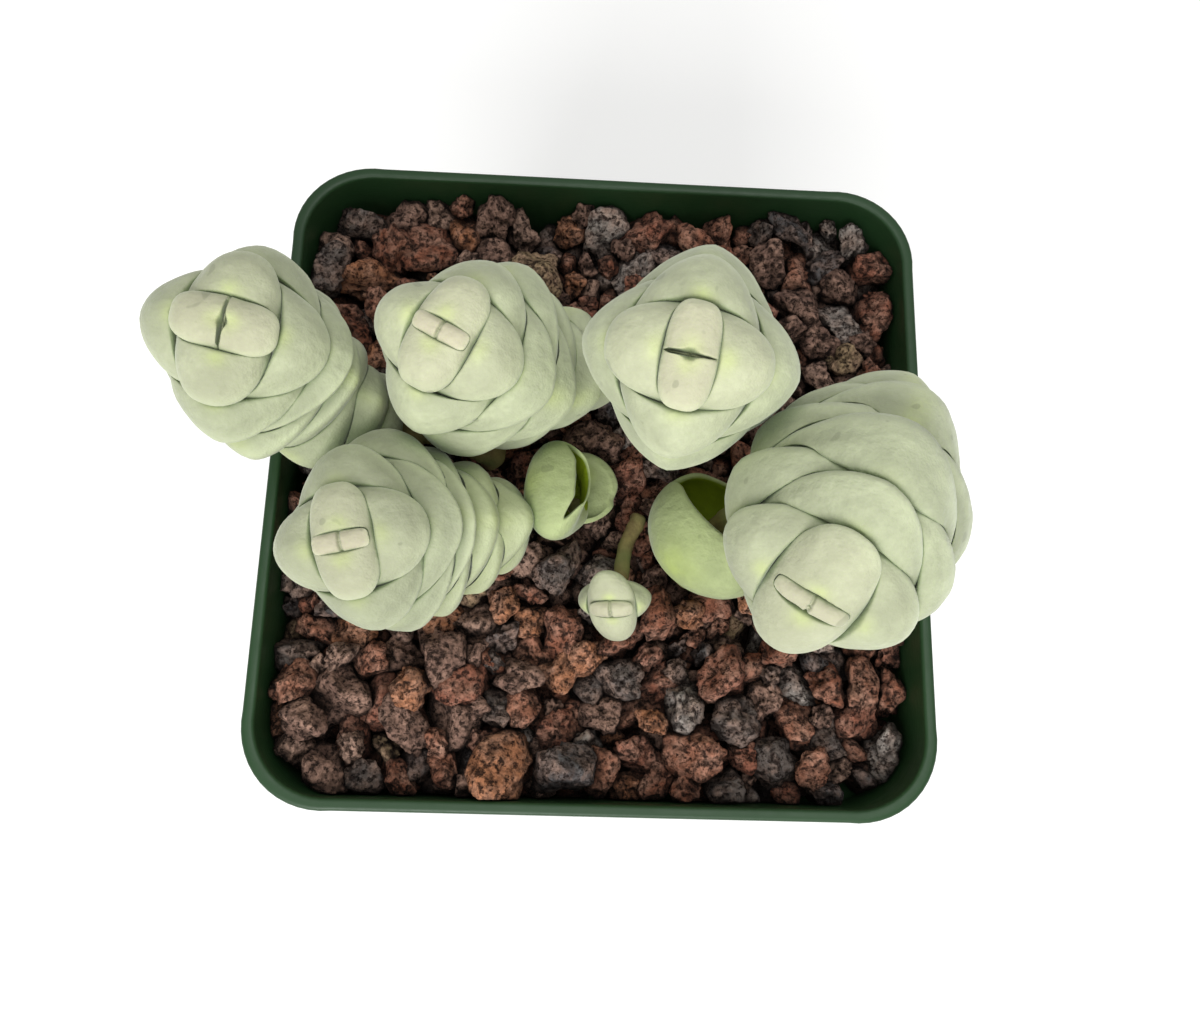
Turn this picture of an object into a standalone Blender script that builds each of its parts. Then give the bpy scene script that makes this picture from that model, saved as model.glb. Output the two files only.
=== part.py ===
"""A four-ranked crassula in a square nursery pot: five fat columns of stacked, fused leaf pairs,
a side shoot with two loose pairs, one young offset, bare stems, a bed of lava gravel and the pot.
Metres, +Z up, pot base on z = 0."""

import math

import bpy
import numpy as np

MM = 0.001

# Pot, in millimetres: widths are over the flat sides, radii at the corners.
POT_WIDTH = 89.0
POT_HEIGHT = 85.0
POT_BASE_WIDTH = 63.0
POT_CORNER_R = 12.0
POT_BASE_CORNER_R = 9.0
POT_WALL = 1.6
POT_FLOOR = 2.2
LIP_WIDTH = 1.6
LIP_HEIGHT = 3.2
LIP_OVERHANG = 0.5
LIP_EAR = 0.6
COLLAR_HEIGHT = 16.0
COLLAR_STEP = 1.5
EDGE = 0.7
CORNER_STEPS = 6
DRAIN_HOLE_D = 8.0
DRAIN_HOLE_OFFSET = 20.0

# Gravel: a bed of stones whose tops stand a little under the rim.
GRAVEL_TOP = POT_HEIGHT - 5.6
GRAVEL_GAP = 0.35
STONE_SPACING = 6.4
STONE_RISE = 3.6
STONE_JITTER = 0.3
STONE_SHARE = (0.55, 0.8)
STONE_LEVEL = 0.8
GRAVEL_RINGS = 12
GRAVEL_CORNER_STEPS = 3
GRAVEL_SIDE_STEPS = 7
GRAVEL_SEED = 7
CALM_R = 5.0
CALM_RAMP = 3.0
CALM_BELOW = 6.0
GRAVEL_DIP = 1.2
STONE_SINK = 0.6

# Leaf pairs: how far apart they grow, how thick they get and how they round off.
PITCH = 3.5
GROWTH = 0.5
TOP_HEIGHT = 8.2
UNDER_HEIGHT = 3.2
TIP_RISE = -0.6
SIDE_FULLNESS = 7.0
UNDER_FULLNESS = 5.0
ROUNDING = 0.6
UNDER_ROUNDING = 0.4
NOSE = 0.97
KEEL = 0.4
KEEL_WIDTH = 1.3
NEWEST_HALF = 2.4
NEWEST_WIDTH = 0.3
NEWEST_SWELL = 0.85
NEWEST_SUNK = 1.4
NEWEST_LOW = 0.25
SWOLLEN_PHASE = 0.35
RISEN_PHASE = 0.3
SPREADING = 0.8
YOUNG_SLIM = 0.48
WIDENING = 0.34
WIDE_AGE = 3.2
OLD_POWER = 1.7
SQUARE_BUD = 4.0
TOP_AGE = 3.0
NOSE_AGE = 5.0
CROWD_FROM = 5.0
CROWD_AGES = 2.0
TAPER_FROM = 5
GAP = 0.7
CREASE_GAP = 0.7
CREASE_SLOPE = 2.0
HIDDEN_PART = 0.8
GROOVE_PART = 0.45
GROOVE_MOST = 0.92
SHELF_MOST = 0.95
SEGMENTS = 16
CHORD = 6.0
NECK_R = 1.6
SHOWN_RINGS = (0.0, 0.5, 0.85, 1.0)
UNDER_RINGS = (0.8,)
BUD_CREASE = 0.45
BUD_RINGS = (0.28, 0.6, 0.88)

# Loose pairs lower on the stems.
CUP_WALL = 1.1
CUP_NOTCH = 0.16
CUP_NOTCH_WIDTH = 0.22
CUP_STEPS = (0.0, 0.25, 0.5, 0.75, 0.96)

# Stems.
STEM_R = 2.1
OFFSET_STEM_R = 1.1
STEM_STEP = 1.8
STEM_SLIM = 0.15
FOOT_GAP = 0.35
STEM_GAP = 0.85
HOLE_GAP = 0.5

# Height of the rim, from which the columns' axes are measured, and of the stems' feet over it.
RIM_Z = POT_HEIGHT
FOOT_Z = GRAVEL_TOP + FOOT_GAP - RIM_Z

# Each column: axis points from the tip to the gravel (x, y, height above the rim), the turn of its
# innermost pair about the axis in degrees, the largest half length of a pair and that of its oldest
# one, how far the newest pair has grown, how many separate pairs it carries below the bud, and any
# loose pairs lower on the stem. A loose pair closes into a bag round the stem: it has the number of
# its axis point, its half length, its depth and its width as shares of that, how far its middle
# bulges to one side, how many degrees its wall turns up from the stem, how many more on the one leaf
# than on the other, its own turn, and the way that it faces.
COLUMNS = {
    "column_1": dict(
        axis=[
            (-42.0, 7.0, 30.0), (-42.6, 8.3, 22.5), (-40.8, 8.0, 15.0), (-36.2, 6.2, 9.0),
            (-30.4, 4.9, 5.2),
            (-23.0, 4.5, 2.0), (-18.0, 3.8, -0.4), (-15.4, 3.6, -3.0), (-15.0, 3.5, FOOT_Z),
        ],
        turn=80.0, reach=13.6, phase=0.1, pairs=9, single=6, end_reach=6.4, cups=[],
        newest=(3.0, 0.16),
    ),
    "column_2": dict(
        axis=[
            (-19.3, 8.0, 28.0), (-18.3, 9.1, 20.5), (-15.2, 10.1, 14.0), (-11.5, 11.0, 8.5),
            (-7.0, 13.0, 4.5),
            (-4.0, 14.8, 0.0), (-3.2, 15.4, -3.0), (-3.0, 15.5, FOOT_Z),
        ],
        turn=-27.0, reach=13.4, phase=0.45, pairs=9, single=5, end_reach=7.5, cups=[],
    ),
    "column_3": dict(
        axis=[
            (6.6, 1.4, 40.0), (7.6, 4.2, 32.0), (9.4, 7.8, 22.0), (11.5, 10.2, 12.0), (12.5, 11.5, 3.0),
            (12.5, 11.5, FOOT_Z),
        ],
        turn=-9.5, reach=13.7, phase=0.02, pairs=11, single=5, end_reach=8.0, cups=[],
        newest=(2.5, 0.14), pointed=0.12,
    ),
    "column_4": dict(
        axis=[
            (-29.2, -15.0, 23.0), (-28.3, -13.2, 16.0), (-25.6, -10.9, 10.5), (-21.0, -10.0, 6.2),
            (-17.0, -9.0, 4.2), (-14.3, -8.3, 2.8), (-13.0, -7.9, 0.8), (-12.6, -7.7, -1.8),
            (-12.6, -7.7, FOOT_Z),
        ],
        turn=13.0, reach=13.4, phase=0.35, pairs=10, single=5, end_reach=6.4, cups=[], crowd=0.58,
    ),
    "column_5": dict(
        axis=[
            (19.5, -21.8, 33.2), (21.9, -17.6, 28.6), (25.3, -11.6, 26.0), (28.7, -6.0, 22.6),
            (31.0, -1.0, 17.2), (32.4, 2.6, 10.6), (31.0, 2.6, 4.4), (26.0, -1.0, 3.6), (20.8, -4.8, 5.6),
            (17.4, -6.7, 6.0), (15.4, -8.4, 3.6), (14.0, -10.0, 0.6), (12.9, -11.8, -2.4),
            (12.4, -12.5, -3.8), (12.3, -12.6, FOOT_Z),
        ],
        turn=-22.0, reach=14.6, phase=0.8, pairs=10, single=7, end_reach=8.6,
        cups=[
            dict(point=12, half=9.1, depth=0.8, slim=1.0, bulge=0.4, close=121.0, skew=18.0, turn=48.0,
                 facing=(0.33, 0.5, 0.8)),
        ],
    ),
    "side_shoot": dict(
        axis=[
            (-3.4, -4.9, 1.0), (-3.4, -4.9, -0.2), (-3.4, -4.9, -2.9), (-3.4, -4.9, -4.0),
            (-3.4, -4.9, FOOT_Z),
        ],
        turn=0.0, pairs=0, scale=0.62,
        cups=[
            dict(point=1, half=7.2, depth=0.6, slim=0.54, bulge=4.6, close=150.0, skew=12.0, turn=0.0,
                 facing=(0.2, 0.3, 0.93)),
            dict(point=2, half=5.2, depth=0.3, slim=1.0, bulge=5.2, close=75.0, skew=0.0, turn=258.0,
                 facing=(0.1, 0.1, 0.99)),
        ],
    ),
    "offset": dict(
        axis=[
            (1.5, -18.9, 3.8), (1.9, -17.9, 1.4), (3.0, -14.0, -1.4), (3.6, -9.6, -2.6),
            (5.2, -5.9, -3.2),
            (5.4, -5.2, -3.6), (5.4, -5.1, FOOT_Z),
        ],
        turn=10.0, reach=9.0, phase=0.9, pairs=1, single=1, end_reach=6.4, cups=[], scale=0.62,
        newest=(2.9, 1.2), pointed=0.25, proud=0.5,
    ),
}


def clear_scene():
    for obj in list(bpy.data.objects):
        bpy.data.objects.remove(obj, do_unlink=True)


def material(name, colour, roughness, metallic=0.0):
    made = bpy.data.materials.new(name)
    made.use_nodes = True
    shader = made.node_tree.nodes["Principled BSDF"]
    shader.inputs["Base Color"].default_value = (*colour, 1.0)
    shader.inputs["Roughness"].default_value = roughness
    shader.inputs["Metallic"].default_value = metallic
    made.diffuse_color = (*colour, 1.0)
    return made


def add_mesh(name, points_mm, faces, mat, collection, smooth_angle=40.0):
    mesh = bpy.data.meshes.new(name)
    mesh.from_pydata([tuple(MM * c for c in p) for p in points_mm], [], faces)
    mesh.validate()
    mesh.materials.append(mat)
    mesh.shade_smooth()
    mesh.set_sharp_from_angle(angle=math.radians(smooth_angle))
    obj = bpy.data.objects.new(name, mesh)
    collection.objects.link(obj)
    return obj


def lofted(rings, back_to_first=False):
    """Faces of a skin through rings of equal count, which ends in poles or comes back to its first ring."""
    faces = []
    counts = [len(ring) for ring in rings]
    starts = [sum(counts[:i]) for i in range(len(counts))]
    steps = list(zip(starts, counts))
    if back_to_first:
        steps.append(steps[0])
    for (a, count_a), (b, count_b) in zip(steps, steps[1:]):
        n = max(count_a, count_b)
        for i in range(n):
            j = (i + 1) % n
            if count_a == 1:
                faces.append((a, b + i, b + j))
            elif count_b == 1:
                faces.append((a + i, b, a + j))
            else:
                faces.append((a + i, b + i, b + j, a + j))
    return faces


# ---------------------------------------------------------------- column axes


def axis_curve(points, turn_deg, samples=240):
    """A smooth curve from the tip to the gravel, by arc length, with a frame that doesn't twist."""
    p = np.array(points, float)
    p[:, 2] += RIM_Z
    padded = np.vstack([2 * p[0] - p[1], p, 2 * p[-1] - p[-2]])
    fine = []
    for i in range(1, len(padded) - 2):
        t = np.linspace(0, 1, 60, endpoint=False)[:, None]
        a, b, c, d = padded[i - 1 : i + 3]
        cubic = 3 * b - a - 3 * c + d
        square = 2 * a - 5 * b + 4 * c - d
        fine.append(0.5 * (2 * b + (c - a) * t + square * t**2 + cubic * t**3))
    fine = np.vstack(fine + [p[-1:]])
    along = np.concatenate([[0], np.cumsum(np.linalg.norm(np.diff(fine, axis=0), axis=1))])
    s = np.linspace(0, along[-1], samples)
    curve = np.stack([np.interp(s, along, fine[:, k]) for k in range(3)], axis=1)
    ahead = np.stack([np.interp(s - CHORD, s, curve[:, k]) for k in range(3)], axis=1)
    behind = np.stack([np.interp(s + CHORD, s, curve[:, k]) for k in range(3)], axis=1)
    tangent = ahead - behind
    tangent /= np.linalg.norm(tangent, axis=1)[:, None]
    side = np.array([1.0, 0.0, 0.0]) - tangent[0] * tangent[0, 0]
    side /= np.linalg.norm(side)
    other = np.cross(tangent[0], side)
    turn = math.radians(turn_deg)
    side = math.cos(turn) * side + math.sin(turn) * other
    sides = [side]
    for step in tangent[1:]:
        side = side - step * side.dot(step)
        side = side / np.linalg.norm(side)
        sides.append(side)
    sides = np.array(sides)
    return dict(s=s, curve=curve, tangent=tangent, side=sides, other=np.cross(tangent, sides), length=s[-1])


def bend(axis, points):
    """Carries points given as (along side, along other, height over the tip) onto the axis."""
    points = np.asarray(points, float)
    down = -points[:, 2]
    s = np.clip(down, 0, axis["length"])
    beyond = down - s

    def at(key):
        return np.stack([np.interp(s, axis["s"], axis[key][:, k]) for k in range(3)], axis=1)

    return (
        at("curve")
        - at("tangent") * beyond[:, None]
        + at("side") * points[:, :1]
        + at("other") * points[:, 1:2]
    )


# ---------------------------------------------------------------- leaf pairs


def grown(age, reach, scale, pointed, crowd):
    """The sizes of a leaf pair by its age, counted in pairs; crowd is how close the oldest ones sit."""
    half = reach * (1 - math.exp(-GROWTH * age))
    past = max(0.0, age - CROWD_FROM)
    old = 1 - math.exp(-past / CROWD_AGES)
    steps = age - (1 - math.exp(-SPREADING * age)) / SPREADING - (1 - crowd) * (past - CROWD_AGES * old)
    opened = 1 - math.exp(-GROWTH * age)
    return dict(
        half=half,
        width=half * (YOUNG_SLIM + WIDENING * (1 - math.exp(-((age / WIDE_AGE) ** 2)))),
        power=OLD_POWER + SQUARE_BUD * math.exp(-0.95 * age) - pointed,
        margin=-scale * PITCH * steps,
        top=scale * TOP_HEIGHT * (1 - math.exp(-((age / TOP_AGE) ** 1.5))),
        under=scale * UNDER_HEIGHT * opened * (1 - (1 - crowd) * old),
        rise=scale * TIP_RISE * opened,
        nose=3 + 3 * math.exp(-age) + 3 * (1 - math.exp(-((age / NOSE_AGE) ** 2))),
    )


def column_pairs(spec):
    """The pairs of a column from the tip down, tapering towards the oldest; the newest stands in a slit."""
    scale = spec.get("scale", 1.0)
    phase = spec["phase"]
    count = spec["pairs"] + 2
    pairs = []
    for k in range(count):
        pointed = spec.get("pointed", 0.0)
        pair = grown(k + phase, spec["reach"], scale, pointed, spec.get("crowd", 1.0))
        old = max(0.0, (k - TAPER_FROM) / (count - 1 - TAPER_FROM)) if count > 6 else float(k == count - 1)
        shrink = 1 + (spec["end_reach"] / spec["reach"] - 1) * old
        pair["half"] *= shrink
        pair["width"] *= shrink
        pair["quarter"] = k % 2
        pairs.append(pair)
    newest = pairs[0]
    swell = NEWEST_SWELL * min(1.0, phase / SWOLLEN_PHASE)
    usual = (NEWEST_HALF * (1 + 0.9 * phase), NEWEST_WIDTH + swell)
    newest["half"], newest["width"] = spec.get("newest", usual)
    newest["margin"] -= scale * (NEWEST_LOW + NEWEST_SUNK * max(0.0, 1 - phase / RISEN_PHASE))
    newest["margin"] += spec.get("proud", 0.0)
    return pairs


def outline(pair, angle):
    """Radius of the pair's edge at an angle about the column, 0 being the innermost pair's axis."""
    own = angle - pair["quarter"] * math.pi / 2
    n = pair["power"]
    along = np.abs(np.cos(own) / pair["half"])
    across = np.abs(np.sin(own) / pair["width"])
    return (along**n + across**n) ** (-1 / n)


def margin_height(pair, angle):
    own = angle - pair["quarter"] * math.pi / 2
    return pair["margin"] + 0.5 * pair["rise"] * np.cos(2 * own)


def share_out(pair, r, angle):
    """How far out r lies, 1 being the edge, which ends in a blunt nose."""
    return np.clip(r / outline(pair, angle), 0, NOSE)


def under_side(pair, r, angle):
    u = share_out(pair, r, angle)
    return margin_height(pair, angle) - pair["under"] * (1 - u**UNDER_FULLNESS) ** UNDER_ROUNDING


def upper_side(pair, r, angle):
    """A domed face with a keel: it slopes to the leaf's nose and drops off at the sides."""
    own = angle - pair["quarter"] * math.pi / 2
    n = pair["nose"] + (SIDE_FULLNESS - pair["nose"]) * np.sin(own) ** 2
    ridge = KEEL * (np.sqrt((r * np.sin(own)) ** 2 + KEEL_WIDTH**2) - KEEL_WIDTH)
    full = (1 - share_out(pair, r, angle) ** n) ** ROUNDING
    return margin_height(pair, angle) + (pair["top"] - ridge) * full


def pair_top(pairs, k, r, angle):
    """Upper face of pair k: its own dome, kept below every younger pair that lies over it."""
    z = upper_side(pairs[k], r, angle)
    for younger in pairs[:k]:
        beyond = np.maximum(r - outline(younger, angle), 0)
        z = np.minimum(z, under_side(younger, r, angle) - GAP + CREASE_SLOPE * beyond)
    return z


def pair_rings(pairs, first, last):
    """Rings of (x, y, height) over pairs first to last, which share a neck where there are several."""
    angle = np.arange(SEGMENTS) * 2 * math.pi / SEGMENTS
    centre = np.zeros(1)
    rings = [[(0.0, 0.0, float(pair_top(pairs, first, centre, centre)[0]))]]

    def ring(r, z):
        r = np.broadcast_to(r, angle.shape)
        rings.append(list(zip(r * np.cos(angle), r * np.sin(angle), np.broadcast_to(z, angle.shape))))

    for k in range(first, last + 1):
        edge = outline(pairs[k], angle)
        crease = outline(pairs[k - 1], angle)
        hidden = np.minimum(crease, edge) * HIDDEN_PART
        groove = np.minimum(crease + GROOVE_PART * CREASE_GAP, edge * GROOVE_MOST)
        outer = np.minimum(crease + CREASE_GAP, edge * SHELF_MOST)
        if k > first:
            ring(NECK_R, pair_top(pairs, k, centre, centre))
        for r in (hidden, groove):
            ring(r, pair_top(pairs, k, r, angle))
        for part in SHOWN_RINGS:
            r = outer + (edge - outer) * part
            ring(r, pair_top(pairs, k, r, angle))
        ring(edge, under_side(pairs[k], edge, angle))
        for part in UNDER_RINGS:
            ring(edge * part, under_side(pairs[k], edge * part, angle))
        if k < last:
            ring(NECK_R, under_side(pairs[k], centre, centre))
    rings.append([(0.0, 0.0, float(under_side(pairs[last], centre, centre)[0]))])
    return rings


def bud_rings(pairs, scale):
    """The two innermost pairs as one body: small lobes standing in the slit of the second pair."""
    angle = np.arange(SEGMENTS) * 2 * math.pi / SEGMENTS
    first, second = pairs[0], pairs[1]
    crease = np.minimum(outline(first, angle), outline(second, angle) * 0.8)
    edge = outline(second, angle)
    rings = [[(0.0, 0.0, float(upper_side(first, np.zeros(1), np.zeros(1))[0]))]]

    def ring(r, z):
        rings.append(list(zip(r * np.cos(angle), r * np.sin(angle), z)))

    ring(crease * 0.8, upper_side(first, crease * 0.8, angle))
    lower = np.minimum(upper_side(second, crease, angle), upper_side(first, crease, angle))
    ring(crease, lower - BUD_CREASE * scale)
    for part in BUD_RINGS:
        r = crease + (edge - crease) * part
        ring(r, upper_side(second, r, angle))
    ring(edge, upper_side(second, edge, angle))
    ring(edge, under_side(second, edge, angle))
    ring(edge * 0.8, under_side(second, edge * 0.8, angle))
    rings.append([(0.0, 0.0, float(under_side(second, np.zeros(1), np.zeros(1))[0]))])
    return rings


def stem_path(axis, start, end):
    count = max(3, int((end - start) / STEM_STEP))
    s = np.linspace(start, end, count)
    return np.stack([np.interp(s, axis["s"], axis["curve"][:, k]) for k in range(3)], axis=1)


def add_stem(name, points_mm, radius, mat, collection):
    """A round stem along a path, a little stouter towards the foot."""
    curve = bpy.data.curves.new(name, "CURVE")
    curve.dimensions = "3D"
    curve.bevel_depth = radius * MM
    curve.bevel_resolution = 2
    curve.use_fill_caps = True
    spline = curve.splines.new("POLY")
    spline.points.add(len(points_mm) - 1)
    for i, (point, at) in enumerate(zip(spline.points, points_mm)):
        point.co = (*[MM * c for c in at], 1.0)
        point.radius = 1 - STEM_SLIM * (1 - i / (len(points_mm) - 1))
    curve.materials.append(mat)
    obj = bpy.data.objects.new(name, curve)
    collection.objects.link(obj)
    return obj


def cup_rings(cup, hole):
    """A loose pair: two rounded leaves joined into a bag round the stem, with a notch at each joint."""
    angle = np.arange(SEGMENTS) * 2 * math.pi / SEGMENTS
    notch = CUP_NOTCH * np.exp(-((np.cos(angle) / CUP_NOTCH_WIDTH) ** 2))
    last = math.radians(cup["close"]) * (1 - notch) - math.radians(cup["skew"]) * np.cos(angle)
    widest = math.sin(min(math.radians(cup["close"]), math.pi / 2))
    middle = cup["half"] * cup["depth"]
    rings = []

    def ring(part, inset):
        across = cup["half"] - inset
        first = math.asin(hole / across)
        turn = first + (last - first) * part
        r = across * np.sin(turn) / widest
        slim = 1 + (cup["slim"] - 1) * np.sin(np.minimum(turn, math.pi / 2)) ** 2
        x = r * slim * np.cos(angle) - cup["bulge"] * (np.sin(turn) - np.sin(first))
        rings.append(np.stack([x, r * np.sin(angle), middle - (middle - inset) * np.cos(turn)], axis=1))

    for part in CUP_STEPS:
        ring(part, CUP_WALL)
    ring(1.0, CUP_WALL / 2)
    for part in reversed(CUP_STEPS):
        ring(part, 0.0)
    return rings


def add_cup(name, at, cup, hole, mat, collection):
    rings = cup_rings(cup, hole)
    turn = math.radians(cup["turn"])
    facing = np.array(cup["facing"]) / np.linalg.norm(cup["facing"])
    east = np.array([1.0, 0.0, 0.0]) - facing * facing[0]
    east /= np.linalg.norm(east)
    side = math.cos(turn) * east + math.sin(turn) * np.cross(facing, east)
    base = np.add(at, (0, 0, RIM_Z)) - facing * CUP_WALL / 2
    placed = base + np.vstack(rings) @ np.array([side, np.cross(facing, side), facing])
    add_mesh(name, placed, lofted(rings, back_to_first=True), mat, collection)


def add_closed_pairs(name, spec, axis, mat, collection):
    """The bud and the separate pairs below it; gives the distance along the axis to their lowest point."""
    pairs = column_pairs(spec)
    rings = bud_rings(pairs, spec.get("scale", 1.0))
    add_mesh(name + "_bud", bend(axis, np.vstack(rings)), lofted(rings), mat, collection)
    first = 2
    while first < len(pairs):
        single = first - 2 < spec["single"] or first == len(pairs) - 1
        last = first if single else first + 1
        rings = pair_rings(pairs, first, last)
        label = f"{name}_pair_{first - 1:02d}" + ("" if single else f"_{last - 1:02d}")
        add_mesh(label, bend(axis, np.vstack(rings)), lofted(rings), mat, collection)
        first = last + 1
    return -float(under_side(pairs[-1], np.zeros(1), np.zeros(1))[0])


def add_column(name, spec, leaf, bark, collection):
    """A column's closed pairs, any loose pairs and the stem below them."""
    axis = axis_curve(spec["axis"], spec["turn"])
    start = add_closed_pairs(name, spec, axis, leaf, collection) + STEM_GAP if spec["pairs"] else 0.0
    radius = OFFSET_STEM_R if "scale" in spec else STEM_R
    for i, cup in enumerate(spec["cups"]):
        at = spec["axis"][cup["point"]]
        add_cup(f"{name}_loose_pair_{i + 1}", at, cup, radius + HOLE_GAP, leaf, collection)
    add_stem(name + "_stem", stem_path(axis, start, axis["length"]), radius, bark, collection)
    return axis["curve"]


# ---------------------------------------------------------------- pot and gravel


def rounded_square(half, corner, z, ear=0.0, steps=CORNER_STEPS, side_steps=1):
    """A closed ring of points round a square with round corners; ear pushes the corners out."""
    ring = []
    for quarter in range(4):
        sx = 1 if quarter in (0, 3) else -1
        sy = 1 if quarter in (0, 1) else -1
        for i in range(steps + 1):
            turn = (quarter + i / steps) * math.pi / 2
            out = corner + ear * math.sin(math.pi * i / steps)
            x = sx * (half - corner) + out * math.cos(turn)
            y = sy * (half - corner) + out * math.sin(turn)
            ring.append((x, y, z))
        straight = 2 * (half - corner)
        for i in range(1, side_steps):
            turn = (quarter + 1) * math.pi / 2
            back = straight * i / side_steps
            ring.append((x - math.sin(turn) * back, y + math.cos(turn) * back, z))
    return ring


def wall_half(z):
    """Half width over the tapering wall below the collar."""
    top = POT_WIDTH / 2 - LIP_OVERHANG - COLLAR_STEP
    return POT_BASE_WIDTH / 2 + (top - POT_BASE_WIDTH / 2) * z / (POT_HEIGHT - COLLAR_HEIGHT)


def corner_at(z, inset=0.0):
    share = min(1.0, z / POT_HEIGHT)
    return POT_BASE_CORNER_R + (POT_CORNER_R - POT_BASE_CORNER_R) * share - inset


def pot_inner_sections():
    """The inside of the pot from the rim down, as (half width, corner, height)."""
    collar_z = POT_HEIGHT - COLLAR_HEIGHT
    mouth = POT_WIDTH / 2 - LIP_WIDTH
    return [
        (mouth, corner_at(POT_HEIGHT, LIP_WIDTH), POT_HEIGHT - EDGE),
        (mouth, corner_at(POT_HEIGHT, LIP_WIDTH), collar_z + POT_WALL),
        (wall_half(collar_z) - POT_WALL, corner_at(collar_z, POT_WALL), collar_z - EDGE),
        (wall_half(POT_FLOOR) - POT_WALL, corner_at(POT_FLOOR, POT_WALL), POT_FLOOR + EDGE),
    ]


def add_pot(mat, collection, helpers):
    half = POT_WIDTH / 2
    collar_z = POT_HEIGHT - COLLAR_HEIGHT
    lip_z = POT_HEIGHT - LIP_HEIGHT
    base = wall_half(0)
    outer = [
        rounded_square(base - EDGE, corner_at(0, EDGE), 0.0),
        rounded_square(base, corner_at(0), EDGE),
        rounded_square(wall_half(collar_z), corner_at(collar_z), collar_z),
        rounded_square(half - LIP_OVERHANG - EDGE / 2, corner_at(collar_z), collar_z + EDGE),
        rounded_square(half - LIP_OVERHANG, corner_at(lip_z, LIP_OVERHANG), lip_z - EDGE),
        rounded_square(half, POT_CORNER_R, lip_z, LIP_EAR),
        rounded_square(half, POT_CORNER_R, POT_HEIGHT - EDGE, LIP_EAR),
        rounded_square(half - EDGE, POT_CORNER_R - EDGE, POT_HEIGHT, LIP_EAR),
        rounded_square(half - LIP_WIDTH + EDGE, POT_CORNER_R - LIP_WIDTH + EDGE, POT_HEIGHT, LIP_EAR),
    ]
    inner = [rounded_square(h, c, z) for h, c, z in pot_inner_sections()]
    floor_half = wall_half(POT_FLOOR) - POT_WALL - EDGE
    inner.append(rounded_square(floor_half, corner_at(POT_FLOOR, POT_WALL + EDGE), POT_FLOOR))
    rings = [[(0.0, 0.0, POT_FLOOR)]] + inner[::-1] + outer[::-1] + [[(0.0, 0.0, 0.0)]]
    pot = add_mesh("pot", np.vstack(rings), lofted(rings), mat, collection, smooth_angle=50.0)
    for i in range(4):
        turn = math.radians(45 + 90 * i)
        bpy.ops.mesh.primitive_cylinder_add(
            vertices=20,
            radius=DRAIN_HOLE_D / 2 * MM,
            depth=4 * POT_FLOOR * MM,
            location=(
                math.copysign(DRAIN_HOLE_OFFSET, math.cos(turn)) * MM,
                math.copysign(DRAIN_HOLE_OFFSET, math.sin(turn)) * MM,
                POT_FLOOR / 2 * MM,
            ),
        )
        cutter = bpy.context.active_object
        cutter.name = f"drain_cutter_{i + 1}"
        cutter.hide_render = True
        cutter.display_type = "WIRE"
        for held in list(cutter.users_collection):
            held.objects.unlink(cutter)
        helpers.objects.link(cutter)
        cut = pot.modifiers.new(cutter.name, "BOOLEAN")
        cut.operation = "DIFFERENCE"
        cut.solver = "EXACT"
        cut.object = cutter
    return pot


def stone_centres(rng):
    """Stones on a jittered grid, as rows of x, y, radius and height of the middle."""
    reach = POT_WIDTH / 2
    grid = np.arange(-reach, reach + 1, STONE_SPACING)
    x, y = (c.ravel() for c in np.meshgrid(grid, grid, indexing="ij"))
    jitter = rng.uniform(-STONE_JITTER, STONE_JITTER, (2, len(x))) * STONE_SPACING
    radius = rng.uniform(*STONE_SHARE, len(x)) * STONE_SPACING
    level = rng.uniform(-STONE_LEVEL, STONE_LEVEL, len(x))
    return np.stack([x + jitter[0], y + jitter[1], radius, level], axis=1)


def gravel_height(stones, calm_spots, x, y):
    """Height of the bed's surface; it lies flat under the lowest stems and leaves."""
    away = np.hypot(x - stones[:, 0], y - stones[:, 1]) / stones[:, 2]
    bump = float(np.max(stones[:, 3] + STONE_RISE * (1 - away**2)))
    near = float(np.min(np.hypot(x - calm_spots[:, 0], y - calm_spots[:, 1])))
    calm = min(1.0, max(0.0, (near - CALM_R) / CALM_RAMP))
    return GRAVEL_TOP + calm * (max(bump, -GRAVEL_DIP) - STONE_SINK)


def add_gravel(mat, calm_spots, collection):
    rng = np.random.default_rng(GRAVEL_SEED)
    stones = stone_centres(rng)
    sections = pot_inner_sections()
    mouth, corner, _ = sections[0]

    def ring_at(half, c, z):
        return rounded_square(half, c, z, steps=GRAVEL_CORNER_STEPS, side_steps=GRAVEL_SIDE_STEPS)

    edge = ring_at(mouth - GRAVEL_GAP, corner - GRAVEL_GAP, 0.0)
    rings = [[(0.0, 0.0, gravel_height(stones, calm_spots, 0.0, 0.0))]]
    for k in range(1, GRAVEL_RINGS + 1):
        part = k / GRAVEL_RINGS
        spots = [(part * x, part * y) for x, y, _ in edge]
        rings.append([(x, y, gravel_height(stones, calm_spots, x, y)) for x, y in spots])
    for half, c, z in sections[1:]:
        rings.append(ring_at(half - GRAVEL_GAP, c - GRAVEL_GAP, z + GRAVEL_GAP))
    rings.append([(0.0, 0.0, sections[-1][2] + GRAVEL_GAP)])
    return add_mesh("gravel_bed", np.vstack(rings), lofted(rings), mat, collection, smooth_angle=25.0)


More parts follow.
